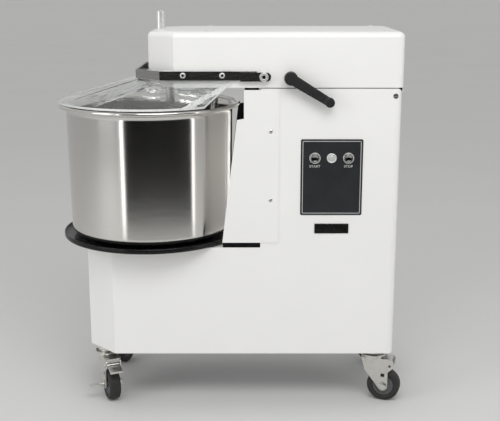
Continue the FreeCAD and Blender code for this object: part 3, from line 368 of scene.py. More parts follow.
# %% [markdown]
# ## Two ways to make a piece
# Round parts are turned: half a section is drawn as a line of points and spun round an axis, as
# on a lathe. Folded and cast parts start as a merged copy of their CAD node, whose sharp edges
# are then given a small radius. Both ways end in the same few steps: the mesh becomes an object,
# its smooth and sharp edges are sorted out, and it rides on its body.

# %% Finish a mesh as a piece
def as_piece(bm, name, finish, body, slot=None, sharp=35.0):
    mesh = bpy.data.meshes.new(name)
    bm.to_mesh(mesh)
    bm.free()
    mesh.materials.append(finish)
    mesh.shade_smooth()
    mesh.set_sharp_from_angle(angle=math.radians(sharp))
    piece = bpy.data.objects.new(name, mesh)
    scene.collection.objects.link(piece)
    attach(piece, body)
    return piece


def body_of(node):
    return next(b for b, nodes in frame["record"]["behaviour"]["bodies"].items() if node in nodes)


def even_shading(piece):
    """Large flat faces keep their own normal, and only the small radii shade round."""
    weights = piece.modifiers.new("even shading", "WEIGHTED_NORMAL")
    weights.keep_sharp = True
    weights.weight = 100
    return piece


print("piece helpers ready")

# %% [markdown]
# A turned piece needs only its section, as pairs of radius and height in millimetres. Round
# stretches of it come from arc. The shape is spun upright at the origin, where it is easy to
# think about, and stand then tips it along any direction and carries it to its place.

# %% Turn a section round an axis
def arc(centre, radius, first, last, steps):
    """Points on a circle, as (radius from the axis, height), between two angles in degrees."""
    points = []
    for step in range(steps + 1):
        angle = math.radians(first + (last - first) * step / steps)
        points.append((centre[0] + radius * math.cos(angle), centre[1] + radius * math.sin(angle)))
    return points


def turned(section, steps=96, closed=False):
    """A bmesh: the section, in millimetres, spun round the Z axis."""
    bm = bmesh.new()
    line = [bm.verts.new((r * MM, 0, z * MM)) for r, z in section]
    pairs = list(zip(line, line[1:]))
    if closed:
        pairs.append((line[-1], line[0]))
    edges = [bm.edges.new(pair) for pair in pairs]
    bmesh.ops.spin(bm, geom=line + edges, cent=(0, 0, 0), axis=(0, 0, 1), angle=2 * math.pi,
                   steps=steps, use_merge=True)
    bmesh.ops.remove_doubles(bm, verts=bm.verts, dist=1e-6)
    bmesh.ops.recalc_face_normals(bm, faces=bm.faces)
    return bm


def stand(bm, place, direction=(0, 0, 1)):
    """Points a turned shape's Z axis along a direction and moves it to its place."""
    turn = Vector((0, 0, 1)).rotation_difference(Vector(direction)).to_matrix().to_4x4()
    bmesh.ops.transform(bm, matrix=Matrix.Translation(place) @ turn, verts=bm.verts)
    return bm


print("turning ready")

# %% [markdown]
# A CAD node arrives as loose triangles, and a bevel on those would run along every one of them.
# So a copy is merged first, and triangles that lie in one plane are joined into whole faces. The
# sharp outward edges that are left are the real ones, and they get a small radius.

# %% Round the edges of a CAD node
def merged_copy(node):
    """The CAD node's loose triangles, merged back into whole faces."""
    bm = bmesh.new()
    bm.from_mesh(frame["nodes"][node].data)
    bmesh.ops.remove_doubles(bm, verts=bm.verts, dist=1e-5)
    bmesh.ops.dissolve_limit(bm, angle_limit=math.radians(0.6), verts=bm.verts, edges=bm.edges)
    return bm


def sharp_edges(bm, least=32.0):
    return [edge for edge in bm.edges
            if len(edge.link_faces) == 2 and edge.calc_face_angle_signed(0.0) > math.radians(least)]


def round_edges(bm, edges, radius, segments=3):
    bmesh.ops.bevel(bm, geom=edges, offset=radius * MM, offset_type="OFFSET", segments=segments,
                    profile=0.5, affect="EDGES", clamp_overlap=True, material=-1, loop_slide=True)


def softened(node, radius, segments=2, finish=None, name=None, choose=None):
    """A copy of a node with its outer edges rounded, which then stands for the node."""
    bm = merged_copy(node)
    edges = sharp_edges(bm)
    if choose:
        edges = [edge for edge in edges if choose(edge)]
    round_edges(bm, edges, radius, segments)
    finish = finish or frame["nodes"][node].data.materials[0]
    piece = as_piece(bm, name or node + "_soft", finish, body_of(node), SLOT_OF[node])
    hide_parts(node)
    return even_shading(piece)


print("rounding ready")

# %% [markdown]
# ## The casing
# Base and column are one skin of two-millimetre sheet. A press brake can't fold a sharp edge, so
# every bend has a radius of about the sheet's thickness, and that thin curved line of light along
# each corner is what makes folded sheet look like sheet. Only bends on the outside are rounded.
# The test for that is simple: both faces of such an edge look away from the casing's middle.

# %% Base and column with bent edges
def outer_edge(centre):
    def test(edge):
        at = (edge.verts[0].co + edge.verts[1].co) / 2 - centre
        return all(face.normal.dot(at) > 0 for face in edge.link_faces)
    return test


BASE_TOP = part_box("base_casing")[1].z
COLUMN_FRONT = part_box("column_casing")[0].x
SHORTEST_BEND = 4.0


def bends(node):
    """Outer edges of a casing part, without those that lie on the weld between two parts."""
    outer = outer_edge(middle(node))

    def test(edge):
        on_weld = all(abs(v.co.z - BASE_TOP) < 1e-4 and v.co.x > COLUMN_FRONT - 1e-4 for v in edge.verts)
        return outer(edge) and edge.calc_length() > SHORTEST_BEND * MM and not on_weld
    return test


base_skin = softened("base_casing", 2.4, 3, name="base_skin", choose=bends("base_casing"))
column_skin = softened("column_casing", 2.4, 3, name="column_skin", choose=bends("column_casing"))
head_skin = softened("head_cover", 2.6, 3, name="head_skin", choose=outer_edge(middle("head_cover")))
print("casing faces", [len(p.data.polygons) for p in (base_skin, column_skin, head_skin)])

# %% [markdown]
# The two gap panels close the space between bowl and column. They are flat cut sheet, so their
# edges are only broken, not bent. A black sheet on the far one's inside is painted shade: it makes
# the slot beside the bowl, which is only in shadow, look dark from the operator's side. The sheet is
# a copy of the panel, flattened against it and cut off before the column. A narrow black strip of
# the same stuff, also painted shade, closes the slot under the near panel.

# %% Gap panels, rear cover and the painted shade sheets
for node in ("gap_panel_near", "gap_panel_far", "rear_cover"):
    softened(node, 0.5, 2)

SHADE_SHEET_THIN = 0.3           # thickness of the sheet as a part of the panel's own
SHADE_SHEET_INWARD = 0.9
SHADE_SHEET_SHORT = 1.5          # gap left between sheet and column
# Painted shade: a black sheet on the far panel's inside, where there is only shadow.
shade_sheet = merged_copy("gap_panel_far")
bmesh.ops.scale(shade_sheet, vec=(1.0, SHADE_SHEET_THIN, 1.0), space=Matrix.Translation((0, SIDE_FACE, 0)),
                verts=shade_sheet.verts)
bmesh.ops.translate(shade_sheet, vec=(0, -SHADE_SHEET_INWARD * MM, 0), verts=shade_sheet.verts)
cut = bmesh.ops.bisect_plane(shade_sheet, geom=shade_sheet.verts[:] + shade_sheet.edges[:] + shade_sheet.faces[:],
                             plane_co=(COLUMN_FRONT - SHADE_SHEET_SHORT * MM, 0, 0), plane_no=(1, 0, 0),
                             clear_outer=True)
open_edges = [part for part in cut["geom_cut"] if isinstance(part, bmesh.types.BMEdge)]
bmesh.ops.holes_fill(shade_sheet, edges=open_edges)
as_piece(shade_sheet, "painted_shade_sheet_far", painted_shade_black, "base")

# Painted shade: a black strip in the slot under the near panel, which is only in shadow.
SHADE_STRIP_INWARD = 1.2           # from the casing's side face to the strip
SHADE_STRIP_THICK = 1.2
SHADE_STRIP_HEIGHT = 25.0
near_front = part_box("gap_panel_near")[0].x
shade_strip_y = SIDE_FACE + SHADE_STRIP_INWARD * MM
slot_low = Vector((near_front + 0.001, shade_strip_y, BASE_TOP + 0.0003))
slot_high = Vector((COLUMN_FRONT - 0.0005, shade_strip_y + SHADE_STRIP_THICK * MM, BASE_TOP + SHADE_STRIP_HEIGHT * MM))
strip = bmesh.new()
bmesh.ops.create_cube(strip, size=1.0)
bmesh.ops.scale(strip, vec=slot_high - slot_low, verts=strip.verts)
bmesh.ops.translate(strip, vec=(slot_low + slot_high) / 2, verts=strip.verts)
round_edges(strip, list(strip.edges), 0.2, 2)
as_piece(strip, "painted_shade_slot_strip", painted_shade_black, "base")
print("gap panels and lining in place")

# %% [markdown]
# ## The bowl
# The wall leans out a little, ends in a flare, and is rolled over a wire to make the thick rim.
# It is drawn as half a section, outside first, then round the rim and down the inside, and spun
# in small steps so that its edge stays round. The wall is rolled from a sheet, so one upright
# weld stays visible as a narrow ground strip.

# %% Bowl wall, bottom and rim
CORNER_R = 14.0             # round between bottom and wall
WALL_LEAN = 4.0             # how much wider the wall is at its top
WIRE_R = 4.6
COVE_DROP = 16.8            # from the wire down to the centre of the flare
SHEET = 2.0
EASE = 0.05                 # a point this far off, and
EASE_Z = 3.0                # this far along, keeps the wall's shading straight beside an arc
FOOT_R = half("bowl_bottom").x / MM + CORNER_R
FOOT_Z = BOWL_FOOT / MM
RIM_Z = RIM_TOP / MM
RIM_R = RIM_RADIUS / MM
WALL_TOP_R = FOOT_R + WALL_LEAN
wire = (RIM_R - WIRE_R, RIM_Z - WIRE_R)
cove = (wire[0], wire[1] - COVE_DROP)
cove_r = wire[0] - WALL_TOP_R
corner = (FOOT_R - CORNER_R, FOOT_Z + CORNER_R)
section = [(0.0, FOOT_Z)]
section += arc(corner, CORNER_R, -90, 0, 8)
section += [(FOOT_R + EASE, corner[1] + EASE_Z), (WALL_TOP_R - EASE, cove[1] - EASE_Z)]
section += arc(cove, cove_r, 180, 110, 8)
section += arc(wire, WIRE_R, 218, 522, 22)
section += arc(cove, cove_r + SHEET, 108, 180, 8)
section += [(WALL_TOP_R - SHEET - EASE, cove[1] - EASE_Z), (FOOT_R - SHEET + EASE, corner[1] + EASE_Z)]
section += arc(corner, CORNER_R - SHEET, 0, -90, 8)
section += [(0.0, FOOT_Z + SHEET)]
bowl = as_piece(stand(turned(section, 160), (BOWL_AXIS.x, BOWL_AXIS.y, 0)), "bowl", bowl_steel,
                "bowl_assembly", "bowl_steel")
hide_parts("bowl_wall", "bowl_bottom")
print("bowl faces", len(bowl.data.polygons))

# %% [markdown]
# The weld is a sliver that follows the wall and stands a fifth of a millimetre proud of it. It is
# drawn as a narrow upright section and spun through half a degree, then turned to its place.

# %% Weld seam on the bowl's wall
WELD_AT = math.radians(-19)
WELD_ANGLE = 0.5
WELD_PROUD = 0.18
WELD_DEEP = 0.4
weld = bmesh.new()
foot, top = FOOT_R + EASE, WALL_TOP_R + EASE
foot_z, top_z = corner[1] + 1.0, cove[1] - 1.0
corners = [(foot - WELD_DEEP, foot_z), (foot + WELD_PROUD, foot_z)]
corners += [(top + WELD_PROUD, top_z), (top - WELD_DEEP, top_z)]
outline = [weld.verts.new((r * MM, 0, z * MM)) for r, z in corners]
strip = weld.faces.new(outline)
bmesh.ops.spin(weld, geom=[strip], cent=(0, 0, 0), axis=(0, 0, 1), angle=math.radians(WELD_ANGLE),
               steps=3)
bmesh.ops.recalc_face_normals(weld, faces=weld.faces)
bmesh.ops.rotate(weld, cent=(0, 0, 0), matrix=Matrix.Rotation(WELD_AT, 3, "Z"), verts=weld.verts)
weld_seam = as_piece(stand(weld, (BOWL_AXIS.x, BOWL_AXIS.y, 0)), "bowl_weld", hook_steel,
                     "bowl_assembly", "bowl_steel")
print("weld faces", len(weld_seam.data.polygons))

# %% [markdown]
# ## The turntable
# A black disc carries the bowl. Its edge turns up in a rounded lip that catches flour and light,
# and the bowl stands on a raised boss in its middle.

# %% Turntable disc with its lip
disc_low, disc_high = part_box("turntable_disc")
DISC_R = (disc_high.x - disc_low.x) / 2 / MM
DISC_Z = disc_low.z / MM
LIP_Z = disc_high.z / MM
LIP_R = 2.2
PLATE = 4.0                 # thickness of the disc between lip and boss
INNER_R = 5.0               # round at the lip's inner foot
BOSS_R = 147.0
BOSS_SLOPE = 3.0
OUTER_R = 2.5               # round at the disc's lower edge
lip = (DISC_R - LIP_R, LIP_Z - LIP_R - 1.0)
disc_section = [(0.0, DISC_Z)]
disc_section += arc((DISC_R - OUTER_R, DISC_Z + OUTER_R), OUTER_R, -90, 0, 5)
disc_section += arc(lip, LIP_R, 0, 180, 8)
disc_section += arc((lip[0] - LIP_R - INNER_R, DISC_Z + PLATE + INNER_R), INNER_R, 0, -90, 6)
disc_section += [(BOSS_R + BOSS_SLOPE, DISC_Z + PLATE), (BOSS_R, LIP_Z), (0.0, LIP_Z)]
disc = as_piece(stand(turned(disc_section, 160), (BOWL_AXIS.x, BOWL_AXIS.y, 0)), "turntable", black_coat,
                "bowl_assembly", "black_coat")
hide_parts("turntable_disc")
print("turntable radius", round(DISC_R, 1), "mm")

# %% [markdown]
# ## The guard
# Flat stainless bars frame the head, and the clear guard hangs from them by four screws. Cut
# sheet edges of polycarbonate are polished with a small round, which is where the light gathers.
# They are found by their form: they stand upright, and they are no wider than the sheet is thick.
# The round is real, but the pale, mostly opaque finish they get is a painted highlight.

# %% Guard frame and clear sheet
SHEET_EDGE = 5.5            # widest face that still counts as a cut edge
UPRIGHT = 0.12              # largest Z part of an upright face's normal
softened("guard_frame", 0.8, 3, name="guard_bars")
clear = softened("guard_lid", 0.9, 2, name="guard_clear")
clear.data.materials.append(cut_edge_highlight)
narrow = 0
for face in clear.data.polygons:
    spots = [clear.data.vertices[index].co for index in face.vertices]
    width = face.area / max((a - b).length for a in spots for b in spots)
    if width < SHEET_EDGE * MM and abs(face.normal.z) < UPRIGHT:
        face.material_index = 1
        narrow += 1
print("guard ready,", narrow, "narrow faces form its cut edge")

# %% [markdown]
# A screw reads as a screw by its dark key socket inside a bright round head. The four guard
# screws are turned with such a socket, standing where the CAD screws stand. The two pivot bolts
# have a socket already. In both, the faces deep inside the socket are painted black as painted shade.

# %% Guard screws and pivot bolts
def screw_boxes(node):
    """The low and high corners of a node's four screws, one in each quarter of its box."""
    mid = middle(node)
    quarters = {}
    for vertex in frame["nodes"][node].data.vertices:
        quarters.setdefault((vertex.co.x > mid.x, vertex.co.y > mid.y), []).append(vertex.co)
    for spots in quarters.values():
        yield [Vector(pick(spot[axis] for spot in spots) for axis in range(3)) for pick in (min, max)]


def paint_socket_shade(piece, axis_at, radius, depth):
    """A key socket is in shadow: its faces near the axis and below the head's top are painted black, as painted
    shade.
    """
    outside = max(abs(vertex.co.y) for vertex in piece.data.vertices)
    piece.data.materials.append(black_coat)
    for face in piece.data.polygons:
        off = Vector((face.center.x - axis_at.x, face.center.z - axis_at.z)).length
        if off < radius * MM and abs(face.center.y) < outside - depth * MM:
            face.material_index = 1


SEAT_DEPTH = 3.0            # from the head's top down to the face it bears on
SHANK_R = 3.2
HEAD_ROUND = 2.2
SOCKET_R = 2.9
SOCKET_DEPTH = 2.8
SHADE_BELOW = 0.45          # below the head's top, where a socket's shadow starts
BOLT_SOCKET_R = 4.6
BOLT_SHADE_BELOW = 1.0
for number, (low, high) in enumerate(screw_boxes("guard_screws"), 1):
    at = (low + high) / 2
    side = 1 if at.y > 0 else -1
    head_r = (high.z - low.z) / 2 / MM
    tall = (high.y - low.y) / MM
    seat = Vector((at.x, low.y if side > 0 else high.y, at.z))
    screw = [(0.0, 0.0), (SHANK_R, 0.0), (SHANK_R, tall - SEAT_DEPTH), (head_r, tall - SEAT_DEPTH)]
    screw += [(head_r, tall - SEAT_DEPTH + 1.0)]
    screw += arc((head_r - HEAD_ROUND, tall - HEAD_ROUND), HEAD_ROUND - 0.1, 5, 90, 5)
    screw += [(SOCKET_R + 0.4, tall - 0.1), (SOCKET_R, tall - 0.5)]
    screw += [(SOCKET_R - 0.3, tall - SOCKET_DEPTH + 0.2), (0.0, tall - SOCKET_DEPTH)]
    piece = as_piece(stand(turned(screw, 36), seat, (0, side, 0)), f"guard_screw_{number}", screw_zinc,
                     "guard", "zinc")
    paint_socket_shade(piece, at, SOCKET_R, SHADE_BELOW)
    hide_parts("guard_screws")
bolts = softened("guard_pivot_bolts", 1.2, 3, finish=screw_zinc)
paint_socket_shade(bolts, middle("guard_pivot_bolts"), BOLT_SOCKET_R, BOLT_SHADE_BELOW)
print("guard screws", number, "and pivot bolts ready")

# %% [markdown]
# ## Lever, post and tools
# The clamp lever is a plastic moulding: no edge on it is sharp. A voxel remesh followed by a
# little smoothing melts the CAD shape into such a moulding. The post on top is steel bar with a
# rounded end and a small cross hole.

# %% Clamp lever, post and breaker bar
def moulded(node, name, finish, voxel, smoothing):
    """The node's shape with all of its edges melted round."""
    bm = merged_copy(node)
    rough = bpy.data.meshes.new(name + "_rough")
    bm.to_mesh(rough)
    bm.free()
    blank = bpy.data.objects.new(name + "_blank", rough)
    scene.collection.objects.link(blank)
    melt = blank.modifiers.new("melt", "REMESH")
    melt.mode = "VOXEL"
    melt.voxel_size = voxel * MM
    smooth = blank.modifiers.new("smooth", "SMOOTH")
    smooth.iterations = smoothing
    smooth.factor = 0.5
    bpy.context.view_layer.update()
    mesh = bpy.data.meshes.new_from_object(blank.evaluated_get(bpy.context.evaluated_depsgraph_get()))
    bpy.data.objects.remove(blank)
    bm = bmesh.new()
    bm.from_mesh(mesh)
    piece = as_piece(bm, name, finish, body_of(node), SLOT_OF[node], sharp=80.0)
    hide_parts(node)
    return piece


lever = moulded("clamp_lever", "lever_moulding", black_grip, 0.9, 10)
softened("lifting_post", 3.0, 5, finish=post_steel, name="top_post")
softened("breaker_bar", 0.6, 2, finish=hook_steel, name="breaker")
print("lever faces", len(lever.data.polygons))

# %% [markdown]
# Four low dome screws hold the cover down on the frame inside the head. A dome's section is a
# short upright edge and then one arc up to the axis.

# %% Screws on top of the head
DOME_R = 5.4
DOME_ARC = (0.0, -4.2)      # centre of the dome's arc, below the cover
FRONT_INSET = 135.0
REAR_INSET = 45.0
SIDE_INSET = 22.0
head_low, head_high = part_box("head_cover")
for x in (head_low.x + FRONT_INSET * MM, head_high.x - REAR_INSET * MM):
    for letter, side in (("a", -1), ("b", 1)):
        dome = [(0.0, -1.0), (DOME_R, -1.0), (DOME_R, 0.4)] + arc(DOME_ARC, 7.1, 41, 90, 7)
        place = (x, side * (head_high.y - SIDE_INSET * MM), head_high.z)
        name = f"top_screw_{letter}_{round(x / MM)}".replace("-", "m")
        as_piece(stand(turned(dome, 32), place), name, screw_zinc, "head", "zinc")
print("four dome screws on the head")

# %% [markdown]
# ## The control field
# A printed film is glued to the column, with a fine grey line just inside its edge. Two steel
# push buttons and a signal lamp stand in it, with a word below each button, and the plate
# underneath stays blank. A line is a bevelled rectangle whose middle is taken out by an inset.

# %% Film, border line and blank plate
def border(name, low, high, inset, width, radius, y, finish, depth=0.12):
    """A thin line that runs round a rectangle with rounded corners."""
    bm = bmesh.new()
    x0, x1 = low.x + inset * MM, high.x - inset * MM
    z0, z1 = low.z + inset * MM, high.z - inset * MM
    face = bm.faces.new([bm.verts.new((x, y, z)) for x, z in ((x0, z0), (x1, z0), (x1, z1), (x0, z1))])
    bmesh.ops.bevel(bm, geom=bm.verts[:], offset=radius * MM, segments=6, profile=0.5, affect="VERTICES",
                    material=-1)
    bm.faces.ensure_lookup_table()
    bmesh.ops.inset_region(bm, faces=bm.faces[:], thickness=width * MM, use_boundary=True,
                           use_even_offset=True)
    inner = max(bm.faces, key=lambda face: len(face.verts))
    bmesh.ops.delete(bm, geom=[inner], context="FACES_ONLY")
    ring = bmesh.ops.extrude_face_region(bm, geom=bm.faces[:])
    raised = [part for part in ring["geom"] if isinstance(part, bmesh.types.BMVert)]
    bmesh.ops.translate(bm, vec=(0, -depth * MM, 0), verts=raised)
    bmesh.ops.recalc_face_normals(bm, faces=bm.faces)
    return as_piece(bm, name, finish, "base")


FILM_Y = PANEL_LOW.y
SINK = 0.00004              # metres that a printed line reaches into the surface under it
softened("control_panel", 0.4, 2, name="control_film")
border("film_line", PANEL_LOW, PANEL_HIGH, 4.0, 1.5, 2.6, FILM_Y + SINK, print_grey)
plate_low, plate_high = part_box("name_plate")
softened("name_plate", 0.3, 2, finish=plate_black, name="blank_plate")
border("plate_edge", plate_low, plate_high, 0.2, 0.8, 1.4, plate_low.y + SINK, button_chrome)
print("control field ready")

# %% [markdown]
# Type starts as a text curve with a hair of thickness. It is turned into a mesh while it still
# lies at the origin, because a mesh can be stood up and moved point by point, and its object can
# then stay at the origin as every other piece does.

# %% Words under the buttons
def words(text, name, centre, size, finish):
    curve = bpy.data.curves.new(name, "FONT")
    curve.body = text
    curve.size = size * MM
    curve.extrude = 0.05 * MM
    curve.offset = 0.12 * MM
    curve.align_x = "CENTER"
    curve.align_y = "CENTER"
    curve.space_character = 1.12
    letters = bpy.data.objects.new(name + "_type", curve)
    scene.collection.objects.link(letters)
    bpy.context.view_layer.update()
    mesh = bpy.data.meshes.new_from_object(letters.evaluated_get(bpy.context.evaluated_depsgraph_get()))
    bpy.data.objects.remove(letters)
    mesh.transform(Matrix.Translation(centre) @ Matrix.Rotation(math.radians(90), 4, "X"))
    bm = bmesh.new()
    bm.from_mesh(mesh)
    bmesh.ops.remove_doubles(bm, verts=bm.verts, dist=1e-7)
    return as_piece(bm, name, finish, "base")


WORD_DROP = 19.5
WORD_SIZE = 7.8
for node, text in (("start_button", "START"), ("stop_button", "STOP")):
    at = middle(node)
    centre = Vector((at.x, FILM_Y - SINK, at.z - WORD_DROP * MM))
    words(text, text.lower() + "_word", centre, WORD_SIZE, print_grey)
print("words laid on the film")

# %% [markdown]
# Each button is a dished steel cap inside a rounded chrome ring, and the lamp is a milky lens in
# a ring of its own. The button rings are the CAD bezels with a large round. Caps, lens and the
# lamp's ring are turned about an axis that points at the operator.

# %% Buttons
OUT = (0, -1, 0)
CAP_DEEP = 9.6              # the wide part of a cap; behind it is a thin stem
STEM_R = 4.8
CAP_ROUND = 1.3
softened("button_bezels", 1.7, 5, finish=button_chrome, name="button_rings")
for node in ("start_button", "stop_button"):
    low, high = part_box(node)
    at = (low + high) / 2
    cap_r = (high.x - low.x) / 2 / MM
    top = (high.y - low.y) / MM
    cap = [(0.0, 0.0), (STEM_R, 0.0), (STEM_R, top - CAP_DEEP), (cap_r, top - CAP_DEEP)]
    cap += arc((cap_r - CAP_ROUND, top - CAP_ROUND), CAP_ROUND, 0, 110, 6)
    cap += [(cap_r - 4.0, top - 1.5), (cap_r - 7.0, top - 2.1), (0.0, top - 2.3)]
    piece = as_piece(stand(turned(cap, 64), (at.x, high.y, at.z), OUT), node + "_cap", button_steel,
                     body_of(node), "button_steel")
    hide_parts(node)
print("buttons ready")

# %% [markdown]
# The lamp's lens is a low dome on a short neck. Its ring is a closed section: a tube that goes
# back through the film and is rolled over in front. Heights are counted from the film outwards.

# %% Signal lamp
RING_BACK = -12.0
RING_BORE = 8.2
RING_TUBE = 8.9
RING_ROUND = 1.6
LENS_R = 8.1
LENS_BACK = -11.0
DOME_LENS_R = 12.0
low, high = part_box("signal_lamp")
at = (low + high) / 2
ring_r = (high.x - low.x) / 2 / MM
depth = (FILM_Y - low.y) / MM
ring = [(RING_TUBE, RING_BACK), (RING_TUBE, 0.0)]
ring += arc((ring_r - RING_ROUND, depth - 4.4), RING_ROUND, 0, 180, 8) + [(RING_BORE, RING_BACK)]
as_piece(stand(turned(ring, 64, closed=True), (at.x, FILM_Y, at.z), OUT), "lamp_ring",
         button_chrome, "base", "button_steel")
lens = [(0.0, LENS_BACK), (LENS_R, LENS_BACK), (LENS_R, depth - 4.6)]
lens += arc((0.0, depth - 13.5), DOME_LENS_R, 42, 90, 8)
lamp_lens = as_piece(stand(turned(lens, 64), (at.x, FILM_Y, at.z), OUT), "lamp_lens", milky_lens, "base",
                     "lamp_plastic")
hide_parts("signal_lamp")
print("signal lamp ready")

# %% [markdown]
# ## Casters
# Four swivel casters with zinc-plated forks carry the machine, and the front pair has brakes. A
# wheel is two turned pieces, a solid rubber tyre with round shoulders and a plastic hub with a
# raised boss. The fork is pressed sheet, so its edges are softened, and each axle gets real
# hexagon nuts. A caster may stand at any angle, so the axle's direction comes from its joint.

# %% Axles and nuts
def wheel_axis(name):
    joint = next(j for j in frame["joints"] if j["name"] == "roll_" + name)
    return Vector(joint["axis"]).normalized()


def hexagon(name, across, height, place, direction, body):
    """A hexagon nut with chamfered corners."""
    bm = bmesh.new()
    bmesh.ops.create_cone(bm, cap_ends=True, segments=6, radius1=across / math.sqrt(3) * MM,
                          radius2=across / math.sqrt(3) * MM, depth=height * MM)
    round_edges(bm, list(bm.edges), 0.5, 2)
    return as_piece(stand(bm, place, direction), name, zinc_plate, body, "zinc")


print("nuts ready")

# %% [markdown]
# The tyre's section is closed: up one side, round the shoulder, over a slightly crowned tread and
# down the other side. The hub's section is drawn for one side and mirrored to the other.

# %% Wheels, forks and pedals
WHEEL_R = half("caster_wheel_rear_near").z / MM
HUB_R = 24.5
SHOULDER = 6.0              # round between the tyre's side and its tread
NUT_ACROSS = 17.0
NUT_HIGH = 5.6
NUT_OUT = 7.4               # from the tyre's side to the nut's middle
for name in ("front_near", "front_far", "rear_near", "rear_far"):
    centre = middle("caster_wheel_" + name)
    axle = wheel_axis(name)
    spots = [vertex.co - centre for vertex in frame["nodes"]["caster_wheel_" + name].data.vertices]
    tread = max(abs(spot.dot(axle)) for spot in spots) / MM - 1.0   # half the tyre's width
    tyre_section = [(HUB_R, -tread + 3.0)]
    tyre_section += [(HUB_R + 2.0, -tread + 1.0), (WHEEL_R - 9.0, -tread)]
    tyre_section += arc((WHEEL_R - SHOULDER, -tread + SHOULDER), SHOULDER, -90, -18, 6)
    tyre_section += [(WHEEL_R, 0.0)]
    tyre_section += arc((WHEEL_R - SHOULDER, tread - SHOULDER), SHOULDER, 18, 90, 6)
    tyre_section += [(WHEEL_R - 9.0, tread), (HUB_R + 2.0, tread - 1.0), (HUB_R, tread - 3.0)]
    tyre = as_piece(stand(turned(tyre_section, 72, closed=True), centre, axle), "tyre_" + name, rubber,
                    "wheel_" + name, "tread")
    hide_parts("caster_wheel_" + name)
    hub_section = [(5.1, -tread - 0.9), (8.8, -tread - 0.9), (9.2, -tread + 2.6), (20.0, -tread + 3.6)]
    hub_section += [(21.0, -tread + 1.6), (HUB_R, -tread + 1.6), (HUB_R + 0.4, -tread + 3.4)]
    hub_section += [(r, -y) for r, y in hub_section[::-1]]
    as_piece(stand(turned(hub_section, 64, closed=True), centre, axle), "hub_" + name, hub_plastic,
             "wheel_" + name)
    softened("caster_fork_" + name, 0.8, 2)
    for letter, side in (("a", -1), ("b", 1)):
        spot = centre + axle * side * (tread + NUT_OUT) * MM
        hexagon(f"axle_nut_{name}_{letter}", NUT_ACROSS, NUT_HIGH, spot, axle, "fork_" + name)
for name in ("front_near", "front_far"):
    softened("brake_pedal_" + name, 0.9, 2)
softened("caster_plates", 0.8, 2)
print("casters ready, wheel radius", round(WHEEL_R, 1), "mm")

# %% [markdown]
# ## Small parts on the back
# The cable gland is a moulded screw fitting, and the louvred cover and its screws close the rear.
# They are seen only from behind, but their edges catch the same light.

# %% Gland and screws
softened("cable_gland", 0.6, 2)
softened("cover_screws", 0.25, 2)
softened("hinge_pin", 0.5, 2)
print("small parts ready")

# %% [markdown]
# ## Floor, light and camera
# The machine stands on a plain pale floor: one disc, so wide that its edge lies above the
# picture. It is part of the stage, not of the machine.

# %% Floor
FLOOR_RADIUS = 60.0
floor_finish = new_finish("pale_floor", (0.74, 0.74, 0.73), 0.7)
tint(floor_finish, grain(floor_finish, 0.8, detail=2.0), (0.73, 0.73, 0.72), (0.75, 0.75, 0.74))
floor_mesh = bmesh.new()
bmesh.ops.create_circle(floor_mesh, cap_ends=True, segments=96, radius=FLOOR_RADIUS)
floor_data = bpy.data.meshes.new("floor")
floor_mesh.to_mesh(floor_data)
floor_mesh.free()
floor_data.materials.append(floor_finish)
floor = bpy.data.objects.new("floor", floor_data)
scene.collection.objects.link(floor)
print("floor laid")

# %% [markdown]
# A white object needs soft light, or its faces burn out. Most of it comes from an even sky. Two
# wide lamps at the sides and one above make the faces differ enough to model the folded casing.
# A small weak lamp lifts the narrow space between bowl and column, which the bowl mirrors. That
# lamp is kept out of reflections itself.

# %% Sky and lamps
SKY_STRENGTH = 0.56
sky = bpy.data.worlds.new("soft_sky")
sky.use_nodes = True
sky.node_tree.nodes["Background"].inputs["Color"].default_value = (1.0, 1.0, 0.995, 1.0)
sky.node_tree.nodes["Background"].inputs["Strength"].default_value = SKY_STRENGTH
scene.world = sky
scene.view_settings.view_transform = "Standard"


def lamp(name, place, aim, width, height, power):
    light = bpy.data.lights.new(name, "AREA")
    light.shape = "RECTANGLE"
    light.size = width
    light.size_y = height
    light.energy = power
    holder = bpy.data.objects.new(name, light)
    holder.location = place
    holder.rotation_euler = (Vector(aim) - Vector(place)).to_track_quat("-Z", "Y").to_euler()
    holder.visible_camera = False
    scene.collection.objects.link(holder)
    return holder


lamp("top_lamp", (0.3, -1.5, 2.1), (0.18, -0.2, 0.75), 1.6, 0.9, 18)
lamp("left_lamp", (-2.3, -1.6, 1.3), (0.0, 0.0, 0.5), 1.2, 1.8, 14)
lamp("right_lamp", (2.3, -1.8, 1.3), (0.0, 0.0, 0.5), 1.2, 1.8, 6)
GAP_MIDDLE_Z = 0.58
gap_fill = lamp("gap_fill", (COLUMN_FRONT - 0.035, -SIDE_FACE - 0.03, GAP_MIDDLE_Z),
                (COLUMN_FRONT - 0.045, SIDE_FACE, GAP_MIDDLE_Z), 0.06, 0.30, 0.35)
gap_fill.visible_glossy = False
print("lamps hung")

# %% [markdown]
# Polished metal shows what stands round it, so something has to stand there. A dark card in front
# gives the bowl its dark middle, and a bright strip beyond each of its edges gives the streaks.
# All three are bent round the bowl's axis, which keeps their edges upright in the bowl. They are
# seen only in reflections and throw no shadow.

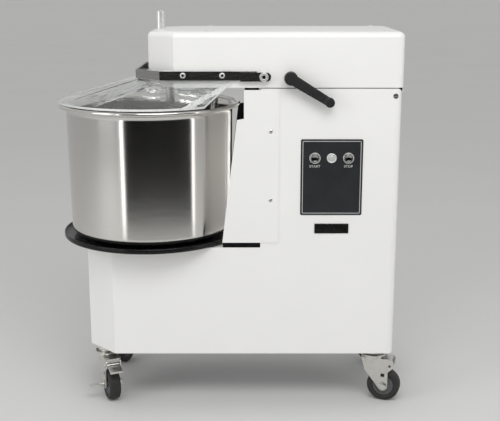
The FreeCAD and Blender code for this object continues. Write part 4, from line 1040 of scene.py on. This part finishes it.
# %% The dark card and its bright edges
def curved_card(name, first, last, distance, height, finish):
    """An upright strip of a cylinder round the bowl's axis, between two directions in degrees."""
    bm = bmesh.new()
    foot = bm.verts.new((0, -distance, 0.0))
    head = bm.verts.new((0, -distance, height))
    edge = bm.edges.new((foot, head))
    bmesh.ops.rotate(bm, cent=(0, 0, 0), matrix=Matrix.Rotation(math.radians(first), 3, "Z"),
                     verts=[foot, head])
    bmesh.ops.spin(bm, geom=[foot, head, edge], cent=(0, 0, 0), axis=(0, 0, 1),
                   angle=math.radians(last - first), steps=24)
    bmesh.ops.translate(bm, vec=(BOWL_AXIS.x, BOWL_AXIS.y, 0), verts=bm.verts)
    mesh = bpy.data.meshes.new(name)
    bm.to_mesh(mesh)
    bm.free()
    mesh.materials.append(finish)
    card = bpy.data.objects.new(name, mesh)
    scene.collection.objects.link(card)
    card.visible_camera = False
    card.visible_diffuse = False
    card.visible_shadow = False
    card.visible_transmission = False
    return card


card_black = new_finish("card_black", (0.002, 0.002, 0.002), 1.0, Specular_IOR_Level=0.0)
strip_white = new_finish("strip_white", (1.0, 1.0, 1.0), 1.0, Emission_Color=(1.0, 1.0, 1.0, 1.0),
                         Emission_Strength=1.7)
CARD_DISTANCE = 1.72
CARD_HEIGHT = 1.2
curved_card("dark_card", -28, 60, CARD_DISTANCE, CARD_HEIGHT, card_black)
curved_card("left_strip", -33.5, -29.5, CARD_DISTANCE, CARD_HEIGHT, strip_white)
curved_card("right_strip", 61.5, 64.5, CARD_DISTANCE, CARD_HEIGHT, strip_white)
print("card and strips stand in front")

# %% [markdown]
# The camera stands at an operator's distance and chest height, square to the machine's side. It
# is tipped down a little, so that the eye looks over the bowl's rim.

# %% Camera
near_side = cad_box[0][1]
CAMERA_BACK = 2.0443
CAMERA_HEIGHT = 0.9999
CAMERA_ASIDE = 0.0458
TILT_DOWN = 13.70
view = bpy.data.cameras.new("camera")
view.sensor_width = 36.0
view.lens = 67.44
view.clip_end = 200.0
camera = bpy.data.objects.new("camera", view)
camera.location = (CAMERA_ASIDE, near_side - CAMERA_BACK, CAMERA_HEIGHT)
camera.rotation_euler = (math.radians(90 - TILT_DOWN), 0, 0)
scene.collection.objects.link(camera)
scene.camera = camera
print("camera at", [round(c, 4) for c in camera.location])
